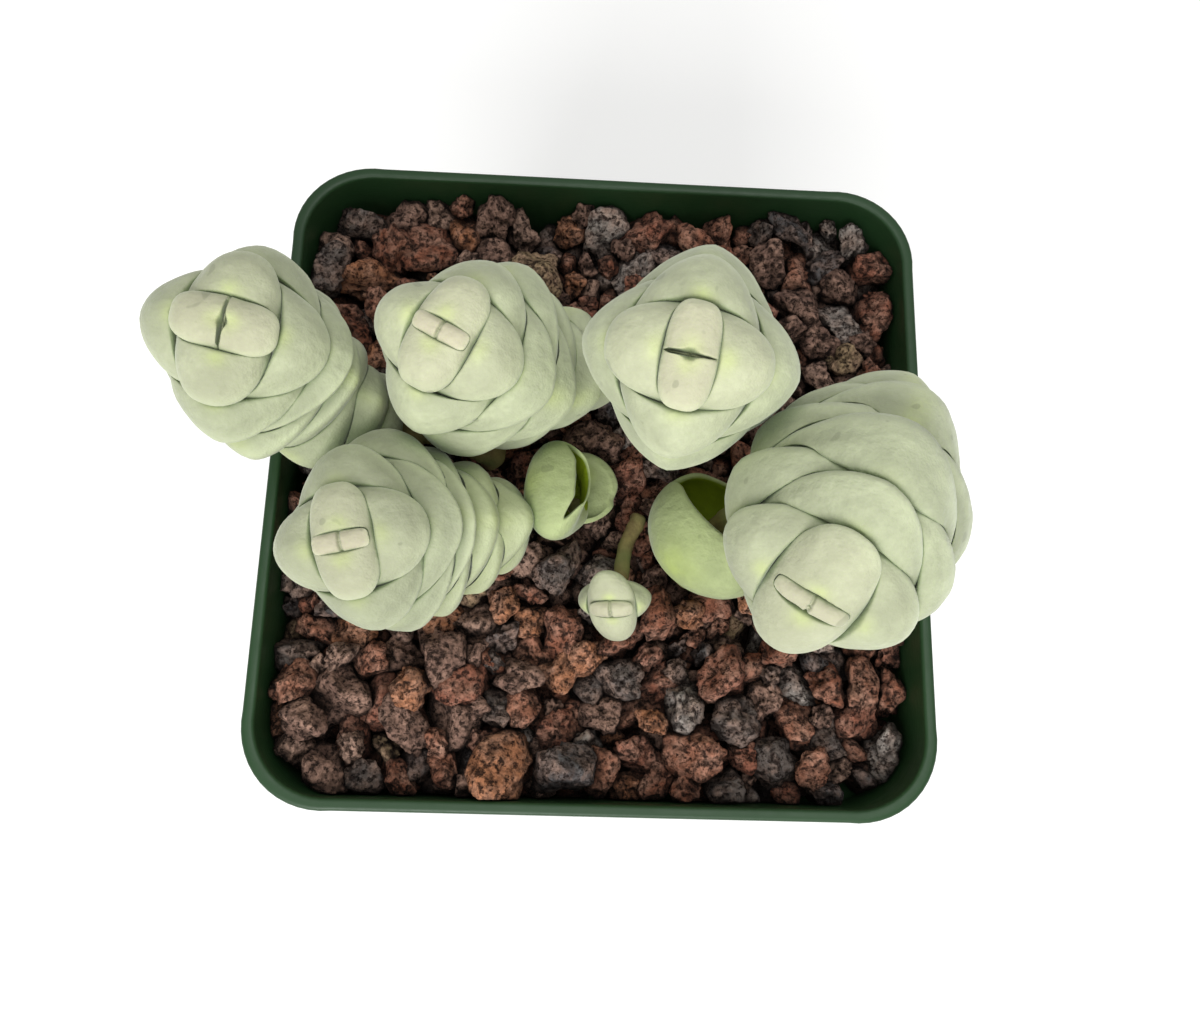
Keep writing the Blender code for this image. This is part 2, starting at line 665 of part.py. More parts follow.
def main():
    clear_scene()
    parts = bpy.data.collections.new("potted_crassula")
    helpers = bpy.data.collections.new("cutters")
    bpy.context.scene.collection.children.link(parts)
    bpy.context.scene.collection.children.link(helpers)
    leaf = material("leaf", (0.50, 0.60, 0.42), 0.75)
    bark = material("bark", (0.30, 0.24, 0.13), 0.85)
    pot_green = material("pot_plastic", (0.03, 0.12, 0.06), 0.45)
    lava = material("lava_gravel", (0.16, 0.08, 0.06), 0.95)
    curves = [add_column(name, spec, leaf, bark, parts) for name, spec in COLUMNS.items()]
    low = np.vstack(curves)
    low = low[low[:, 2] < RIM_Z + CALM_BELOW]
    add_pot(pot_green, parts, helpers)
    add_gravel(lava, low[:, :2], parts)


main()
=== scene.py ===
"""Looks of the potted crassula: velvety leaf pairs, loose lava stones and a moulded pot,
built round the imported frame. Lengths are in millimetres until a mesh is made, then in metres."""

import math

import bmesh
import bpy
import numpy as np
from mathutils import Matrix, Quaternion, Vector, noise


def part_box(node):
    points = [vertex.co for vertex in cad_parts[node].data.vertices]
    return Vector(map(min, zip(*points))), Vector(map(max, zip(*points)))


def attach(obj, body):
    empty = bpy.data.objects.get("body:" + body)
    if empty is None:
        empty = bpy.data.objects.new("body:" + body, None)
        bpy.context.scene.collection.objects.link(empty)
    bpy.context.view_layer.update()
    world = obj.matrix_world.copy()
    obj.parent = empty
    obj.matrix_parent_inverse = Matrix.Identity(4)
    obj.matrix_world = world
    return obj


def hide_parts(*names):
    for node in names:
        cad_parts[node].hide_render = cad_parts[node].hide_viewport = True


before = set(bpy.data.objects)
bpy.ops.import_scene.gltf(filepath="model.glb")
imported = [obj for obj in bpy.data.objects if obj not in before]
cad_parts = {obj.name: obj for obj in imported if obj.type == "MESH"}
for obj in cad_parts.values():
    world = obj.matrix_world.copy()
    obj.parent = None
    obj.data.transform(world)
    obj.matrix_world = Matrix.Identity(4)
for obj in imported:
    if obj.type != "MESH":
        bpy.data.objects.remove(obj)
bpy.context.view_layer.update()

MM = 0.001


def node_box(node):
    """Lowest and highest corner of a CAD node in millimetres."""
    low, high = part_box(node)
    return np.array(low) / MM, np.array(high) / MM


POT_LOW, POT_HIGH = node_box("pot")
RIM_Z = POT_HIGH[2]
POT_WIDTH = POT_HIGH[0] - POT_LOW[0]
BED_BOTTOM = node_box("gravel_bed")[0][2]

# ---------------------------------------------------------------- the plant's driving values

# The gravel's level, and the feet of the stems, whose heights are given from the rim.
GRAVEL_TOP = RIM_Z - 5.6
FOOT_GAP = 0.35
FOOT_Z = GRAVEL_TOP + FOOT_GAP - RIM_Z

# How a leaf pair grows. Its age is counted in pairs from the column's tip.
PITCH = 3.5
GROWTH = 0.5
SPREADING = 0.8
TOP_HEIGHT = 8.2
TOP_AGE = 3.0
TOP_POWER = 1.5
UNDER_HEIGHT = 3.2
TIP_RISE = -0.6
YOUNG_SLIM = 0.48
WIDENING = 0.34
WIDE_AGE = 3.2
OLD_POWER = 1.7
SQUARE_BUD = 4.0
SQUARE_FADE = 0.95
LEAST_NOSE = 3.0
NOSE_AGE = 5.0

# The newest pair of a column, which stands in a slit between the next two leaves.
NEWEST_HALF = 2.4
NEWEST_SPURT = 0.9
NEWEST_WIDTH = 0.3
NEWEST_SWELL = 0.85
SWOLLEN_PHASE = 0.35
NEWEST_LOW = 0.25
NEWEST_SUNK = 1.4
RISEN_PHASE = 0.3
NEWEST_FULLNESS = 2.4
NEWEST_PILLOW = 0.45
NEWEST_SLIT = 0.5
NEWEST_SLIT_WIDTH = 0.2

# Towards the oldest pairs a column tapers, and column 4's also crowd together and turn yellow-green.
CROWD_FROM = 5.0
CROWD_AGES = 2.0
TAPER_FROM = 5
RIPE_FROM = 6.0
RIPE_AGES = 3.0

# A leaf's cross-section, and the crease that it rises out of.
SIDE_FULLNESS = 7.0
UNDER_FULLNESS = 5.0
UNDER_ROUNDING = 0.4
ROUNDING = 0.6
KEEL = 0.4
KEEL_WIDTH = 1.3
CREASE_GAP = 0.12
CREASE_SLOPE = 4.0
CREASE_SOFT = 0.5
SHOULDER = 0.3
SHOULDER_WIDTH = 0.55

# The leaves' meshes: rings round the pair's centre, and soft lumps on them.
SEGMENTS = 84
TOP_RINGS = 22
UNDER_RINGS = 6
UNDER_TURN_LEFT = 0.35
MOST_CREASE = 0.97
CREASE_RING = 0.93
INNER_RING = 0.55
LEAST_RING = 0.04
LUMP = 0.2
LUMP_SIZE = 5.5
FINE_LUMP = 0.35
FINE_LUMP_SIZE = LUMP_SIZE / 2.7

# Where a leaf is tinted: the yellow-green spot at its keel's foot, youth and shade down the column.
SPOT_WIDTH = 1.3
SPOT_OUT = 0.8
SPOT_LENGTH = 1.0
YOUTH_FADE = 0.8
LEAST_DIM = 0.5
DIM_AGES = 6

# Stems, and how far to each side an axis's direction is read.
STEM_R = 2.1
OFFSET_STEM_R = 1.1
STEM_IN_LEAF = 0.6
STEM_STEP = 0.45
STEM_SIDES = 28
LEAST_STEM_RINGS = 12
STEM_TAPER = 0.15
SCAR = 0.1
SCAR_PITCH = 3.1
SCAR_POWER = 6
CHORD = 6.0

# Loose pairs, thin-walled cups. Their lip's rings: place along, share of the wall, share of the inside
# colour, an olive inner face darkened as painted shade.
CUP_WALL = 0.8
CUP_AIR = 0.3
CUP_NOTCH = 0.16
CUP_NOTCH_WIDTH = 0.22
CUP_STEPS = 20
CUP_LIP_FROM = 0.975
CUP_LIP = ((0.99, 0.85, 0.5), (1.0, 0.5, 0.0), (0.99, 0.15, 0.0))
CUP_CREST_WIDTH = 0.35
CUP_SPOT = 0.45
CUP_SPOT_LENGTH = 0.3

# Each column's axis runs from its tip to the gravel; its heights are given from the rim. Angles are in
# degrees. reach is half the length of a full-grown pair and end_reach of the oldest, phase is the age of
# the newest, and newest its half length and half width. The first pairs are single nodes, the rest are
# fused by twos. dim darkens the pairs as painted shade, the older ones most; ripe yellows them. cups are
# the loose pairs.
COLUMNS = {
    "column_1": dict(
        axis=[
            (-42.0, 7.0, 30.0), (-42.6, 8.3, 22.5), (-40.8, 8.0, 15.0), (-36.2, 6.2, 9.0),
            (-30.4, 4.9, 5.2), (-23.0, 4.5, 2.0), (-18.0, 3.8, -0.4), (-15.4, 3.6, -3.0),
            (-15.0, 3.5, FOOT_Z),
        ],
        turn=80.0, reach=13.6, phase=0.1, pairs=9, single=6, end_reach=6.4, cups=[],
        newest=(3.0, 0.16), dim=0.22,
    ),
    "column_2": dict(
        axis=[
            (-19.3, 8.0, 28.0), (-18.3, 9.1, 20.5), (-15.2, 10.1, 14.0), (-11.5, 11.0, 8.5),
            (-7.0, 13.0, 4.5), (-4.0, 14.8, 0.0), (-3.2, 15.4, -3.0), (-3.0, 15.5, FOOT_Z),
        ],
        turn=-27.0, reach=13.4, phase=0.45, pairs=9, single=5, end_reach=7.5, cups=[],
    ),
    "column_3": dict(
        axis=[
            (6.6, 1.4, 40.0), (7.6, 4.2, 32.0), (9.4, 7.8, 22.0), (11.5, 10.2, 12.0), (12.5, 11.5, 3.0),
            (12.5, 11.5, FOOT_Z),
        ],
        turn=-9.5, reach=13.7, phase=0.02, pairs=11, single=5, end_reach=8.0, cups=[],
        newest=(2.5, 0.14), pointed=0.12,
    ),
    "column_4": dict(
        axis=[
            (-29.2, -15.0, 23.0), (-28.3, -13.2, 16.0), (-25.6, -10.9, 10.5), (-21.0, -10.0, 6.2),
            (-17.0, -9.0, 4.2), (-14.3, -8.3, 2.8), (-13.0, -7.9, 0.8), (-12.6, -7.7, -1.8),
            (-12.6, -7.7, FOOT_Z),
        ],
        turn=13.0, reach=13.4, phase=0.35, pairs=10, single=5, end_reach=6.4, cups=[],
        crowd=0.58, ripe=0.7, dim=0.38,
    ),
    "column_5": dict(
        axis=[
            (19.5, -21.8, 33.2), (21.9, -17.6, 28.6), (25.3, -11.6, 26.0), (28.7, -6.0, 22.6),
            (31.0, -1.0, 17.2), (32.4, 2.6, 10.6), (31.0, 2.6, 4.4), (26.0, -1.0, 3.6), (20.8, -4.8, 5.6),
            (17.4, -6.7, 6.0), (15.4, -8.4, 3.6), (14.0, -10.0, 0.6), (12.9, -11.8, -2.4),
            (12.4, -12.5, -3.8), (12.3, -12.6, FOOT_Z),
        ],
        turn=-22.0, reach=14.6, phase=0.8, pairs=10, single=7, end_reach=8.6, dim=0.20,
        cups=[
            dict(point=12, half=9.1, depth=0.8, slim=1.0, bulge=0.4, close=121.0, skew=18.0, turn=48.0,
                 facing=(0.33, 0.5, 0.8)),
        ],
    ),
    "side_shoot": dict(
        axis=[
            (-3.4, -4.9, 1.0), (-3.4, -4.9, -0.2), (-3.4, -4.9, -2.9), (-3.4, -4.9, -4.0),
            (-3.4, -4.9, FOOT_Z),
        ],
        turn=0.0, pairs=0, scale=0.62,
        cups=[
            dict(point=1, half=7.2, depth=0.6, slim=0.54, bulge=4.6, close=150.0, skew=12.0, turn=0.0,
                 facing=(0.2, 0.3, 0.93)),
            dict(point=2, half=5.2, depth=0.3, slim=1.0, bulge=5.2, close=75.0, skew=0.0, turn=258.0,
                 facing=(0.1, 0.1, 0.99), shade=0.0),
        ],
    ),
    "offset": dict(
        axis=[
            (1.5, -18.9, 3.8), (1.9, -17.9, 1.4), (3.0, -14.0, -1.4), (3.6, -9.6, -2.6),
            (5.2, -5.9, -3.2), (5.4, -5.2, -3.6), (5.4, -5.1, FOOT_Z),
        ],
        turn=10.0, reach=9.0, phase=0.9, pairs=1, single=1, end_reach=6.4, cups=[], scale=0.62,
        newest=(2.9, 1.2), pointed=0.25, proud=0.5,
    ),
}


# ---------------------------------------------------------------- meshes


def make_mesh(name, points_mm, faces, materials, attributes=None, sharp_deg=None):
    """A mesh object in metres from points in millimetres, with float attributes on its points."""
    mesh = bpy.data.meshes.new(name)
    points = np.asarray(points_mm, float) * MM
    mesh.from_pydata(points.tolist(), [], faces)
    for mat in materials:
        mesh.materials.append(mat)
    for key, values in (attributes or {}).items():
        layer = mesh.attributes.new(key, "FLOAT", "POINT")
        layer.data.foreach_set("value", np.asarray(values, np.float32))
    mesh.shade_smooth()
    if sharp_deg is not None:
        mesh.set_sharp_from_angle(angle=math.radians(sharp_deg))
    mesh.update()
    obj = bpy.data.objects.new(name, mesh)
    bpy.context.scene.collection.objects.link(obj)
    return obj


def lofted(counts, back_to_first=False, start=0):
    """Faces of a skin through rings of these counts; a count of 1 is a pole."""
    faces = []
    starts = [start + sum(counts[:i]) for i in range(len(counts))]
    steps = list(zip(starts, counts))
    if back_to_first:
        steps.append(steps[0])
    for (a, count_a), (b, count_b) in zip(steps, steps[1:]):
        n = max(count_a, count_b)
        for i in range(n):
            j = (i + 1) % n
            if count_a == 1:
                faces.append((a, b + i, b + j))
            elif count_b == 1:
                faces.append((a + i, b, a + j))
            else:
                faces.append((a + i, b + i, b + j, a + j))
    return faces


def lumps(points, size, seed):
    """Smooth noise between -1 and 1 at points in millimetres."""
    offset = Vector((seed * 7.3, seed * 3.1, seed * 5.7))
    return np.array([noise.noise(Vector(p) / size + offset) for p in points.tolist()])


def push_out(obj, amount_mm):
    """Moves each point of an object along its normal."""
    mesh = obj.data
    count = len(mesh.vertices)
    co = np.empty(count * 3)
    mesh.vertices.foreach_get("co", co)
    normals = np.empty(count * 3)
    mesh.vertex_normals.foreach_get("vector", normals)
    moved = co.reshape(-1, 3) + normals.reshape(-1, 3) * (np.asarray(amount_mm)[:, None] * MM)
    mesh.vertices.foreach_set("co", moved.ravel())
    mesh.update()


# ---------------------------------------------------------------- column axes


def round_angles(count):
    return np.arange(count) * 2 * math.pi / count


def read_along(at, s, values):
    """Three-part values that are known at places s, read at other places."""
    return np.stack([np.interp(at, s, values[:, k]) for k in range(3)], axis=-1)


def axis_curve(points, turn_deg, steps=60, samples=240):
    """A smooth curve from the tip to the gravel, by arc length, with a frame that doesn't twist."""
    p = np.array(points, float)
    p[:, 2] += RIM_Z
    padded = np.vstack([2 * p[0] - p[1], p, 2 * p[-1] - p[-2]])
    fine = []
    for i in range(1, len(padded) - 2):
        t = np.linspace(0, 1, steps, endpoint=False)[:, None]
        a, b, c, d = padded[i - 1 : i + 3]
        cubic = 3 * b - a - 3 * c + d
        square = 2 * a - 5 * b + 4 * c - d
        fine.append(0.5 * (2 * b + (c - a) * t + square * t**2 + cubic * t**3))
    fine = np.vstack(fine + [p[-1:]])
    along = np.concatenate([[0], np.cumsum(np.linalg.norm(np.diff(fine, axis=0), axis=1))])
    s = np.linspace(0, along[-1], samples)
    curve = read_along(s, along, fine)
    tangent = read_along(s - CHORD, s, curve) - read_along(s + CHORD, s, curve)
    tangent /= np.linalg.norm(tangent, axis=1)[:, None]
    side = np.array([1.0, 0.0, 0.0]) - tangent[0] * tangent[0, 0]
    side /= np.linalg.norm(side)
    other = np.cross(tangent[0], side)
    turn = math.radians(turn_deg)
    side = math.cos(turn) * side + math.sin(turn) * other
    sides = [side]
    for step in tangent[1:]:
        side = side - step * side.dot(step)
        side = side / np.linalg.norm(side)
        sides.append(side)
    sides = np.array(sides)
    other = np.cross(tangent, sides)
    return dict(s=s, curve=curve, tangent=tangent, side=sides, other=other, length=s[-1])


def bend(axis, points):
    """Carries points given as (along side, along other, height over the tip) onto the axis."""
    down = -points[:, 2]
    s = np.clip(down, 0, axis["length"])
    curve, tangent, side, other = (
        read_along(s, axis["s"], axis[key]) for key in ("curve", "tangent", "side", "other")
    )
    beyond = (down - s)[:, None]
    return curve - tangent * beyond + side * points[:, :1] + other * points[:, 1:2]


# ---------------------------------------------------------------- leaf pairs


def grown(age, reach, scale, pointed, crowd):
    """The sizes of a leaf pair by its age, counted in pairs; crowd is how close the oldest ones sit."""
    opened = 1 - math.exp(-GROWTH * age)
    past = max(0.0, age - CROWD_FROM)
    old = 1 - math.exp(-past / CROWD_AGES)
    steps = age - (1 - math.exp(-SPREADING * age)) / SPREADING - (1 - crowd) * (past - CROWD_AGES * old)
    return dict(
        age=age,
        half=reach * opened,
        width=reach * opened * (YOUNG_SLIM + WIDENING * (1 - math.exp(-((age / WIDE_AGE) ** 2)))),
        power=OLD_POWER + SQUARE_BUD * math.exp(-SQUARE_FADE * age) - pointed,
        margin=-scale * PITCH * steps,
        top=scale * TOP_HEIGHT * (1 - math.exp(-((age / TOP_AGE) ** TOP_POWER))),
        under=scale * UNDER_HEIGHT * opened * (1 - (1 - crowd) * old),
        rise=scale * TIP_RISE * opened,
        nose=LEAST_NOSE * (2 + math.exp(-age) - math.exp(-((age / NOSE_AGE) ** 2))),
    )


def tapering(k, count):
    """How far pair k has tapered, 1 being the oldest; a short shoot tapers only in its last pair."""
    beyond = count - 1 - TAPER_FROM
    if beyond > 0:
        return max(0.0, (k - TAPER_FROM) / beyond)
    return float(k == count - 1)


def column_pairs(spec):
    """The pairs of a column from the tip down; the newest stands between the next one's leaves."""
    scale = spec.get("scale", 1.0)
    phase = spec["phase"]
    count = spec["pairs"] + 2
    pairs = []
    for k in range(count):
        pair = grown(k + phase, spec["reach"], scale, spec.get("pointed", 0.0), spec.get("crowd", 1.0))
        shrink = 1 + (spec["end_reach"] / spec["reach"] - 1) * tapering(k, count)
        pair["half"] *= shrink
        pair["width"] *= shrink
        pair["quarter"] = k % 2
        pairs.append(pair)
    newest = pairs[0]
    swell = NEWEST_SWELL * min(1.0, phase / SWOLLEN_PHASE)
    usual = (NEWEST_HALF * (1 + NEWEST_SPURT * phase), NEWEST_WIDTH + swell)
    newest["half"], newest["width"] = spec.get("newest", usual)
    newest["margin"] -= scale * (NEWEST_LOW + NEWEST_SUNK * max(0.0, 1 - phase / RISEN_PHASE))
    newest["margin"] += spec.get("proud", 0.0)
    newest["top"] += scale * NEWEST_PILLOW
    return pairs


def own_angle(pair, angle):
    """An angle about the column as the pair sees it, 0 being along its own leaves."""
    return angle - pair["quarter"] * math.pi / 2


def outline(pair, angle):
    """Radius of the pair's edge at an angle about the column, 0 being the innermost pair's axis."""
    own = own_angle(pair, angle)
    n = pair["power"]
    along = np.abs(np.cos(own) / pair["half"])
    across = np.abs(np.sin(own) / pair["width"])
    return (along**n + across**n) ** (-1 / n)


def margin_height(pair, angle):
    return pair["margin"] + 0.5 * pair["rise"] * np.cos(2 * own_angle(pair, angle))


def fullness(pair, r, angle):
    """Share of a leaf's thickness left at r: it slopes to the nose and drops off at the sides."""
    own = own_angle(pair, angle)
    u = np.clip(r / outline(pair, angle), 0, 1)
    n = pair["nose"] + (SIDE_FULLNESS - pair["nose"]) * np.sin(own) ** 2
    if pair["age"] < 1:
        n = NEWEST_FULLNESS
    return (1 - u**n) ** ROUNDING


def under_side(pair, r, angle):
    u = np.clip(r / outline(pair, angle), 0, 1)
    return margin_height(pair, angle) - pair["under"] * (1 - u**UNDER_FULLNESS) ** UNDER_ROUNDING


def upper_side(pair, r, angle):
    own = own_angle(pair, angle)
    ridge = KEEL * (np.sqrt((r * np.sin(own)) ** 2 + KEEL_WIDTH**2) - KEEL_WIDTH)
    z = margin_height(pair, angle) + (pair["top"] - ridge) * fullness(pair, r, angle)
    if pair["age"] < 1:
        z = z - NEWEST_SLIT * np.exp(-((r * np.cos(own) / NEWEST_SLIT_WIDTH) ** 2))
    return z


def soft_min(a, b, width):
    h = np.clip(0.5 + 0.5 * (b - a) / width, 0, 1)
    return b * (1 - h) + a * h - width * h * (1 - h)


def pair_top(pairs, k, r, angle):
    """Upper face of pair k: its own pillow, which rises out of the creases round the younger pairs."""
    z = upper_side(pairs[k], r, angle)
    if k == 0:
        return z
    younger = pairs[k - 1]
    beyond = np.maximum(r - outline(younger, angle), 0)
    axil = np.sin(own_angle(younger, angle)) ** 2
    z = z - SHOULDER * axil * np.exp(-beyond / SHOULDER_WIDTH)
    z = soft_min(z, under_side(younger, r, angle) - CREASE_GAP + CREASE_SLOPE * beyond, CREASE_SOFT)
    for hidden in pairs[: k - 1]:
        beyond = np.maximum(r - outline(hidden, angle), 0)
        z = np.minimum(z, under_side(hidden, r, angle) - CREASE_GAP + CREASE_SLOPE * beyond)
    return z


def turned_share(t):
    """How far out the under side is at parameter t, which runs evenly round the leaf's nose."""
    return np.sin(t) ** (2 / UNDER_FULLNESS)


def shell_rows(pairs, k, angle, crease):
    """The rings of a closed pair from its top round to its under side: radius, angle, height, margin."""
    pair = pairs[k]
    edge = outline(pair, angle)
    start = np.maximum(crease * CREASE_RING / edge, LEAST_RING)
    centre = np.zeros(1)
    rows = [(centre, centre, pair_top(pairs, k, centre, centre), centre)]
    if k > 0:
        r = crease * INNER_RING
        rows.append((r, angle, pair_top(pairs, k, r, angle), np.zeros(SEGMENTS)))
    for i in range(TOP_RINGS + 1):
        part = i / TOP_RINGS
        r = edge * (start + (1 - start) * 0.5 * (1 - math.cos(math.pi * part)))
        rows.append((r, angle, pair_top(pairs, k, r, angle), np.full(SEGMENTS, part)))
    for i in range(1, UNDER_RINGS + 1):
        part = i / UNDER_RINGS
        r = edge * float(turned_share(math.pi / 2 - (math.pi / 2 - UNDER_TURN_LEFT) * part))
        rows.append((r, angle, under_side(pair, r, angle), np.full(SEGMENTS, 1 - part)))
    rows.append((centre, centre, under_side(pair, centre, centre), centre))
    return rows


def pair_shell(pairs, k, scale):
    """Points (x, y, height), ring counts and attributes of one closed pair."""
    angle = round_angles(SEGMENTS)
    crease = np.zeros(SEGMENTS)
    if k > 0:
        crease = np.minimum(outline(pairs[k - 1], angle), outline(pairs[k], angle) * MOST_CREASE)
    points = []
    spot = []
    rows = shell_rows(pairs, k, angle, crease)
    for r, a, z, _ in rows:
        points.append(np.stack([r * np.cos(a), r * np.sin(a), z], axis=1))
        across = r * np.sin(own_angle(pairs[k], a)) / scale
        out = (r - np.interp(a, angle, crease, period=2 * math.pi)) / scale
        strength = np.exp(-((across / SPOT_WIDTH) ** 2) - ((out - SPOT_OUT) / SPOT_LENGTH) ** 2)
        spot.append(strength if k > 0 else np.zeros(len(r)))
    values = dict(spot=np.concatenate(spot), margin=np.concatenate([row[3] for row in rows]))
    return np.vstack(points), [len(row[0]) for row in rows], values


def leaf_object(name, shells, axis, seed, ages, spec):
    """One object from the shells of one or more pairs, bent onto the column's axis."""
    points = []
    faces = []
    values = {"spot": [], "margin": [], "young": [], "ripe": [], "dim": []}
    start = 0
    for (shell, counts, attributes), age in zip(shells, ages):
        points.append(shell)
        faces += lofted(counts, start=start)
        start += len(shell)
        tints = dict(
            young=math.exp(-YOUTH_FADE * age),
            ripe=spec.get("ripe", 0.0) * min(1.0, max(0.0, age - RIPE_FROM) / RIPE_AGES),
            dim=spec.get("dim", 0.0) * min(1.0, LEAST_DIM + age / DIM_AGES),
        )
        for key, tint in tints.items():
            values[key].append(np.full(len(shell), tint))
        for key, array in attributes.items():
            values[key].append(array)
    placed = bend(axis, np.vstack(points))
    attributes = {key: np.concatenate(arrays) for key, arrays in values.items()}
    obj = make_mesh(name, placed, faces, [LEAF], attributes)
    broad = lumps(placed, LUMP_SIZE, seed)
    fine = lumps(placed, FINE_LUMP_SIZE, seed + 9)
    push_out(obj, LUMP * broad + FINE_LUMP * LUMP * fine)
    return obj


# ---------------------------------------------------------------- materials


class Nodes:
    """A small helper that adds nodes to a material's tree and links them by name."""

    def __init__(self, name):
        self.material = bpy.data.materials.new(name)
        self.material.use_nodes = True
        self.tree = self.material.node_tree
        self.shader = self.tree.nodes["Principled BSDF"]
        self.where = self.add("ShaderNodeTexCoord").outputs["Object"]

    def feed(self, socket, value):
        """Gives a socket a number, a colour, a vector or another node's output."""
        if isinstance(value, tuple) and socket.type == "RGBA":
            value = (*value, 1.0)
        if isinstance(value, (int, float, tuple)):
            socket.default_value = value
        else:
            self.tree.links.new(value, socket)

    def add(self, kind, **settings):
        node = self.tree.nodes.new(kind)
        for key, value in settings.items():
            if hasattr(node, key):
                setattr(node, key, value)
            else:
                self.feed(node.inputs[key], value)
        return node

    def set(self, **values):
        for key, value in values.items():
            self.feed(self.shader.inputs[key.replace("_", " ")], value)

    def attribute(self, name):
        return self.add("ShaderNodeAttribute", attribute_name=name).outputs["Fac"]

    def stretched(self, scale):
        return self.add("ShaderNodeMapping", Vector=self.where, Scale=scale).outputs[0]

    def noise(self, scale, detail, roughness, where=None):
        settings = dict(Vector=where or self.where, Scale=scale, Detail=detail, Roughness=roughness)
        return self.add("ShaderNodeTexNoise", **settings).outputs["Fac"]

    def hollows(self, distance):
        return self.add("ShaderNodeAmbientOcclusion", Distance=distance, samples=8).outputs["AO"]

    def spread(self, value, low, high, to_low=0.0, to_high=1.0):
        ends = {"From Min": low, "From Max": high, "To Min": to_low, "To Max": to_high}
        return self.add("ShaderNodeMapRange", clamp=True, Value=value, **ends).outputs["Result"]

    def math(self, operation, a, b):
        node = self.add("ShaderNodeMath", operation=operation)
        for socket, value in zip(node.inputs, (a, b)):
            self.feed(socket, value)
        return node.outputs[0]

    def times(self, a, b):
        return self.math("MULTIPLY", a, b)

    def mix(self, share, a, b):
        node = self.add("ShaderNodeMix", data_type="RGBA")
        for place, value in ((0, share), (6, a), (7, b)):
            self.feed(node.inputs[place], value)
        return node.outputs[2]

    def bump(self, height, strength, distance, normal=None):
        node = self.add("ShaderNodeBump", Height=height, Strength=strength, Distance=distance)
        if normal is not None:
            self.feed(node.inputs["Normal"], normal)
        return node.outputs["Normal"]


def shaded(colour, share):
    """The colour, darker below a share of 1 and paler over it."""
    return tuple(min(1.0, share * c) for c in colour)


def leaf_material(name, body, fresh, spot_colour, inside=None):
    """Velvety, powdered leaf: grey-green, with painted shade in its hollows, yellow-green at its keel's
    foot.
    """
    n = Nodes(name)
    broad = n.spread(n.noise(150.0, 3.0, 0.55), 0.34, 0.66)
    patches = n.spread(n.noise(420.0, 3.0, 0.6), 0.36, 0.64)
    fine = n.spread(n.noise(1500.0, 3.0, 0.65), 0.35, 0.65)
    colour = n.mix(broad, shaded(body, 0.80), shaded(body, 1.12))
    colour = n.mix(n.times(patches, 0.45), colour, shaded(body, 0.74))
    colour = n.mix(n.times(fine, 0.30), colour, shaded(body, 0.70))
    colour = n.mix(n.times(n.attribute("young"), 0.85), colour, fresh)
    uneven = n.spread(n.noise(260.0, 2.0, 0.5), 0.3, 0.6, 0.35, 1.0)
    colour = n.mix(n.times(n.times(n.attribute("spot"), uneven), 0.62), colour, spot_colour)
    colour = n.mix(n.times(n.attribute("ripe"), 0.55), colour, shaded(spot_colour, 0.9))
    # painted shade: the pairs darker, the older ones lower down the column most
    colour = n.mix(n.attribute("dim"), colour, shaded(body, 0.40))
    # painted sheen: the margins paler, as where light catches the felt
    edge = n.spread(n.attribute("margin"), 0.72, 0.95)
    colour = n.mix(n.times(edge, 0.35), colour, shaded(body, 1.45))
    # painted shade: darker green in the creases and hollows, where the leaves close in on each other
    hollow_shade = n.spread(n.hollows(0.0032), 0.30, 0.88, 0.62, 0.0)
    colour = n.mix(hollow_shade, colour, (body[0] * 0.30, body[1] * 0.42, body[2] * 0.25))
    speck = n.spread(n.noise(420.0, 1.0, 0.4), 0.735, 0.76)
    colour = n.mix(n.times(speck, 0.35), colour, shaded(body, 0.35))
    # the cups' inner faces: olive, and darker as painted shade deep in the bag
    if inside:
        colour = n.mix(n.attribute("inside"), colour, inside)
    felt = n.noise(3800.0, 2.0, 0.6)
    normal = n.bump(felt, 0.4, 0.00012)
    normal = n.bump(patches, 0.35, 0.00025, normal)
    normal = n.bump(broad, 0.35, 0.0006, normal)
    n.set(Base_Color=colour, Normal=normal, Roughness=0.72, Specular_IOR_Level=0.25)
    felted = n.times(n.math("SUBTRACT", 1.0, n.attribute("inside")), 0.3)
    n.set(Sheen_Weight=felted, Sheen_Roughness=0.45, Sheen_Tint=(0.95, 1.0, 0.9))
    n.set(Subsurface_Weight=0.1, Subsurface_Radius=(0.9, 1.2, 0.5), Subsurface_Scale=0.0009)
    return n.material


def bark_material():
    n = Nodes("crassula_bark")
    rough = n.noise(520.0, 5.0, 0.65, n.stretched((1.0, 1.0, 0.35)))
    colour = n.mix(n.spread(rough, 0.35, 0.65), (0.16, 0.11, 0.045), (0.30, 0.25, 0.09))
    colour = n.mix(n.spread(n.noise(160.0, 2.0, 0.5), 0.45, 0.65), colour, (0.20, 0.22, 0.07))
    n.set(Base_Color=colour, Normal=n.bump(rough, 0.6, 0.0005), Roughness=0.8)
    return n.material


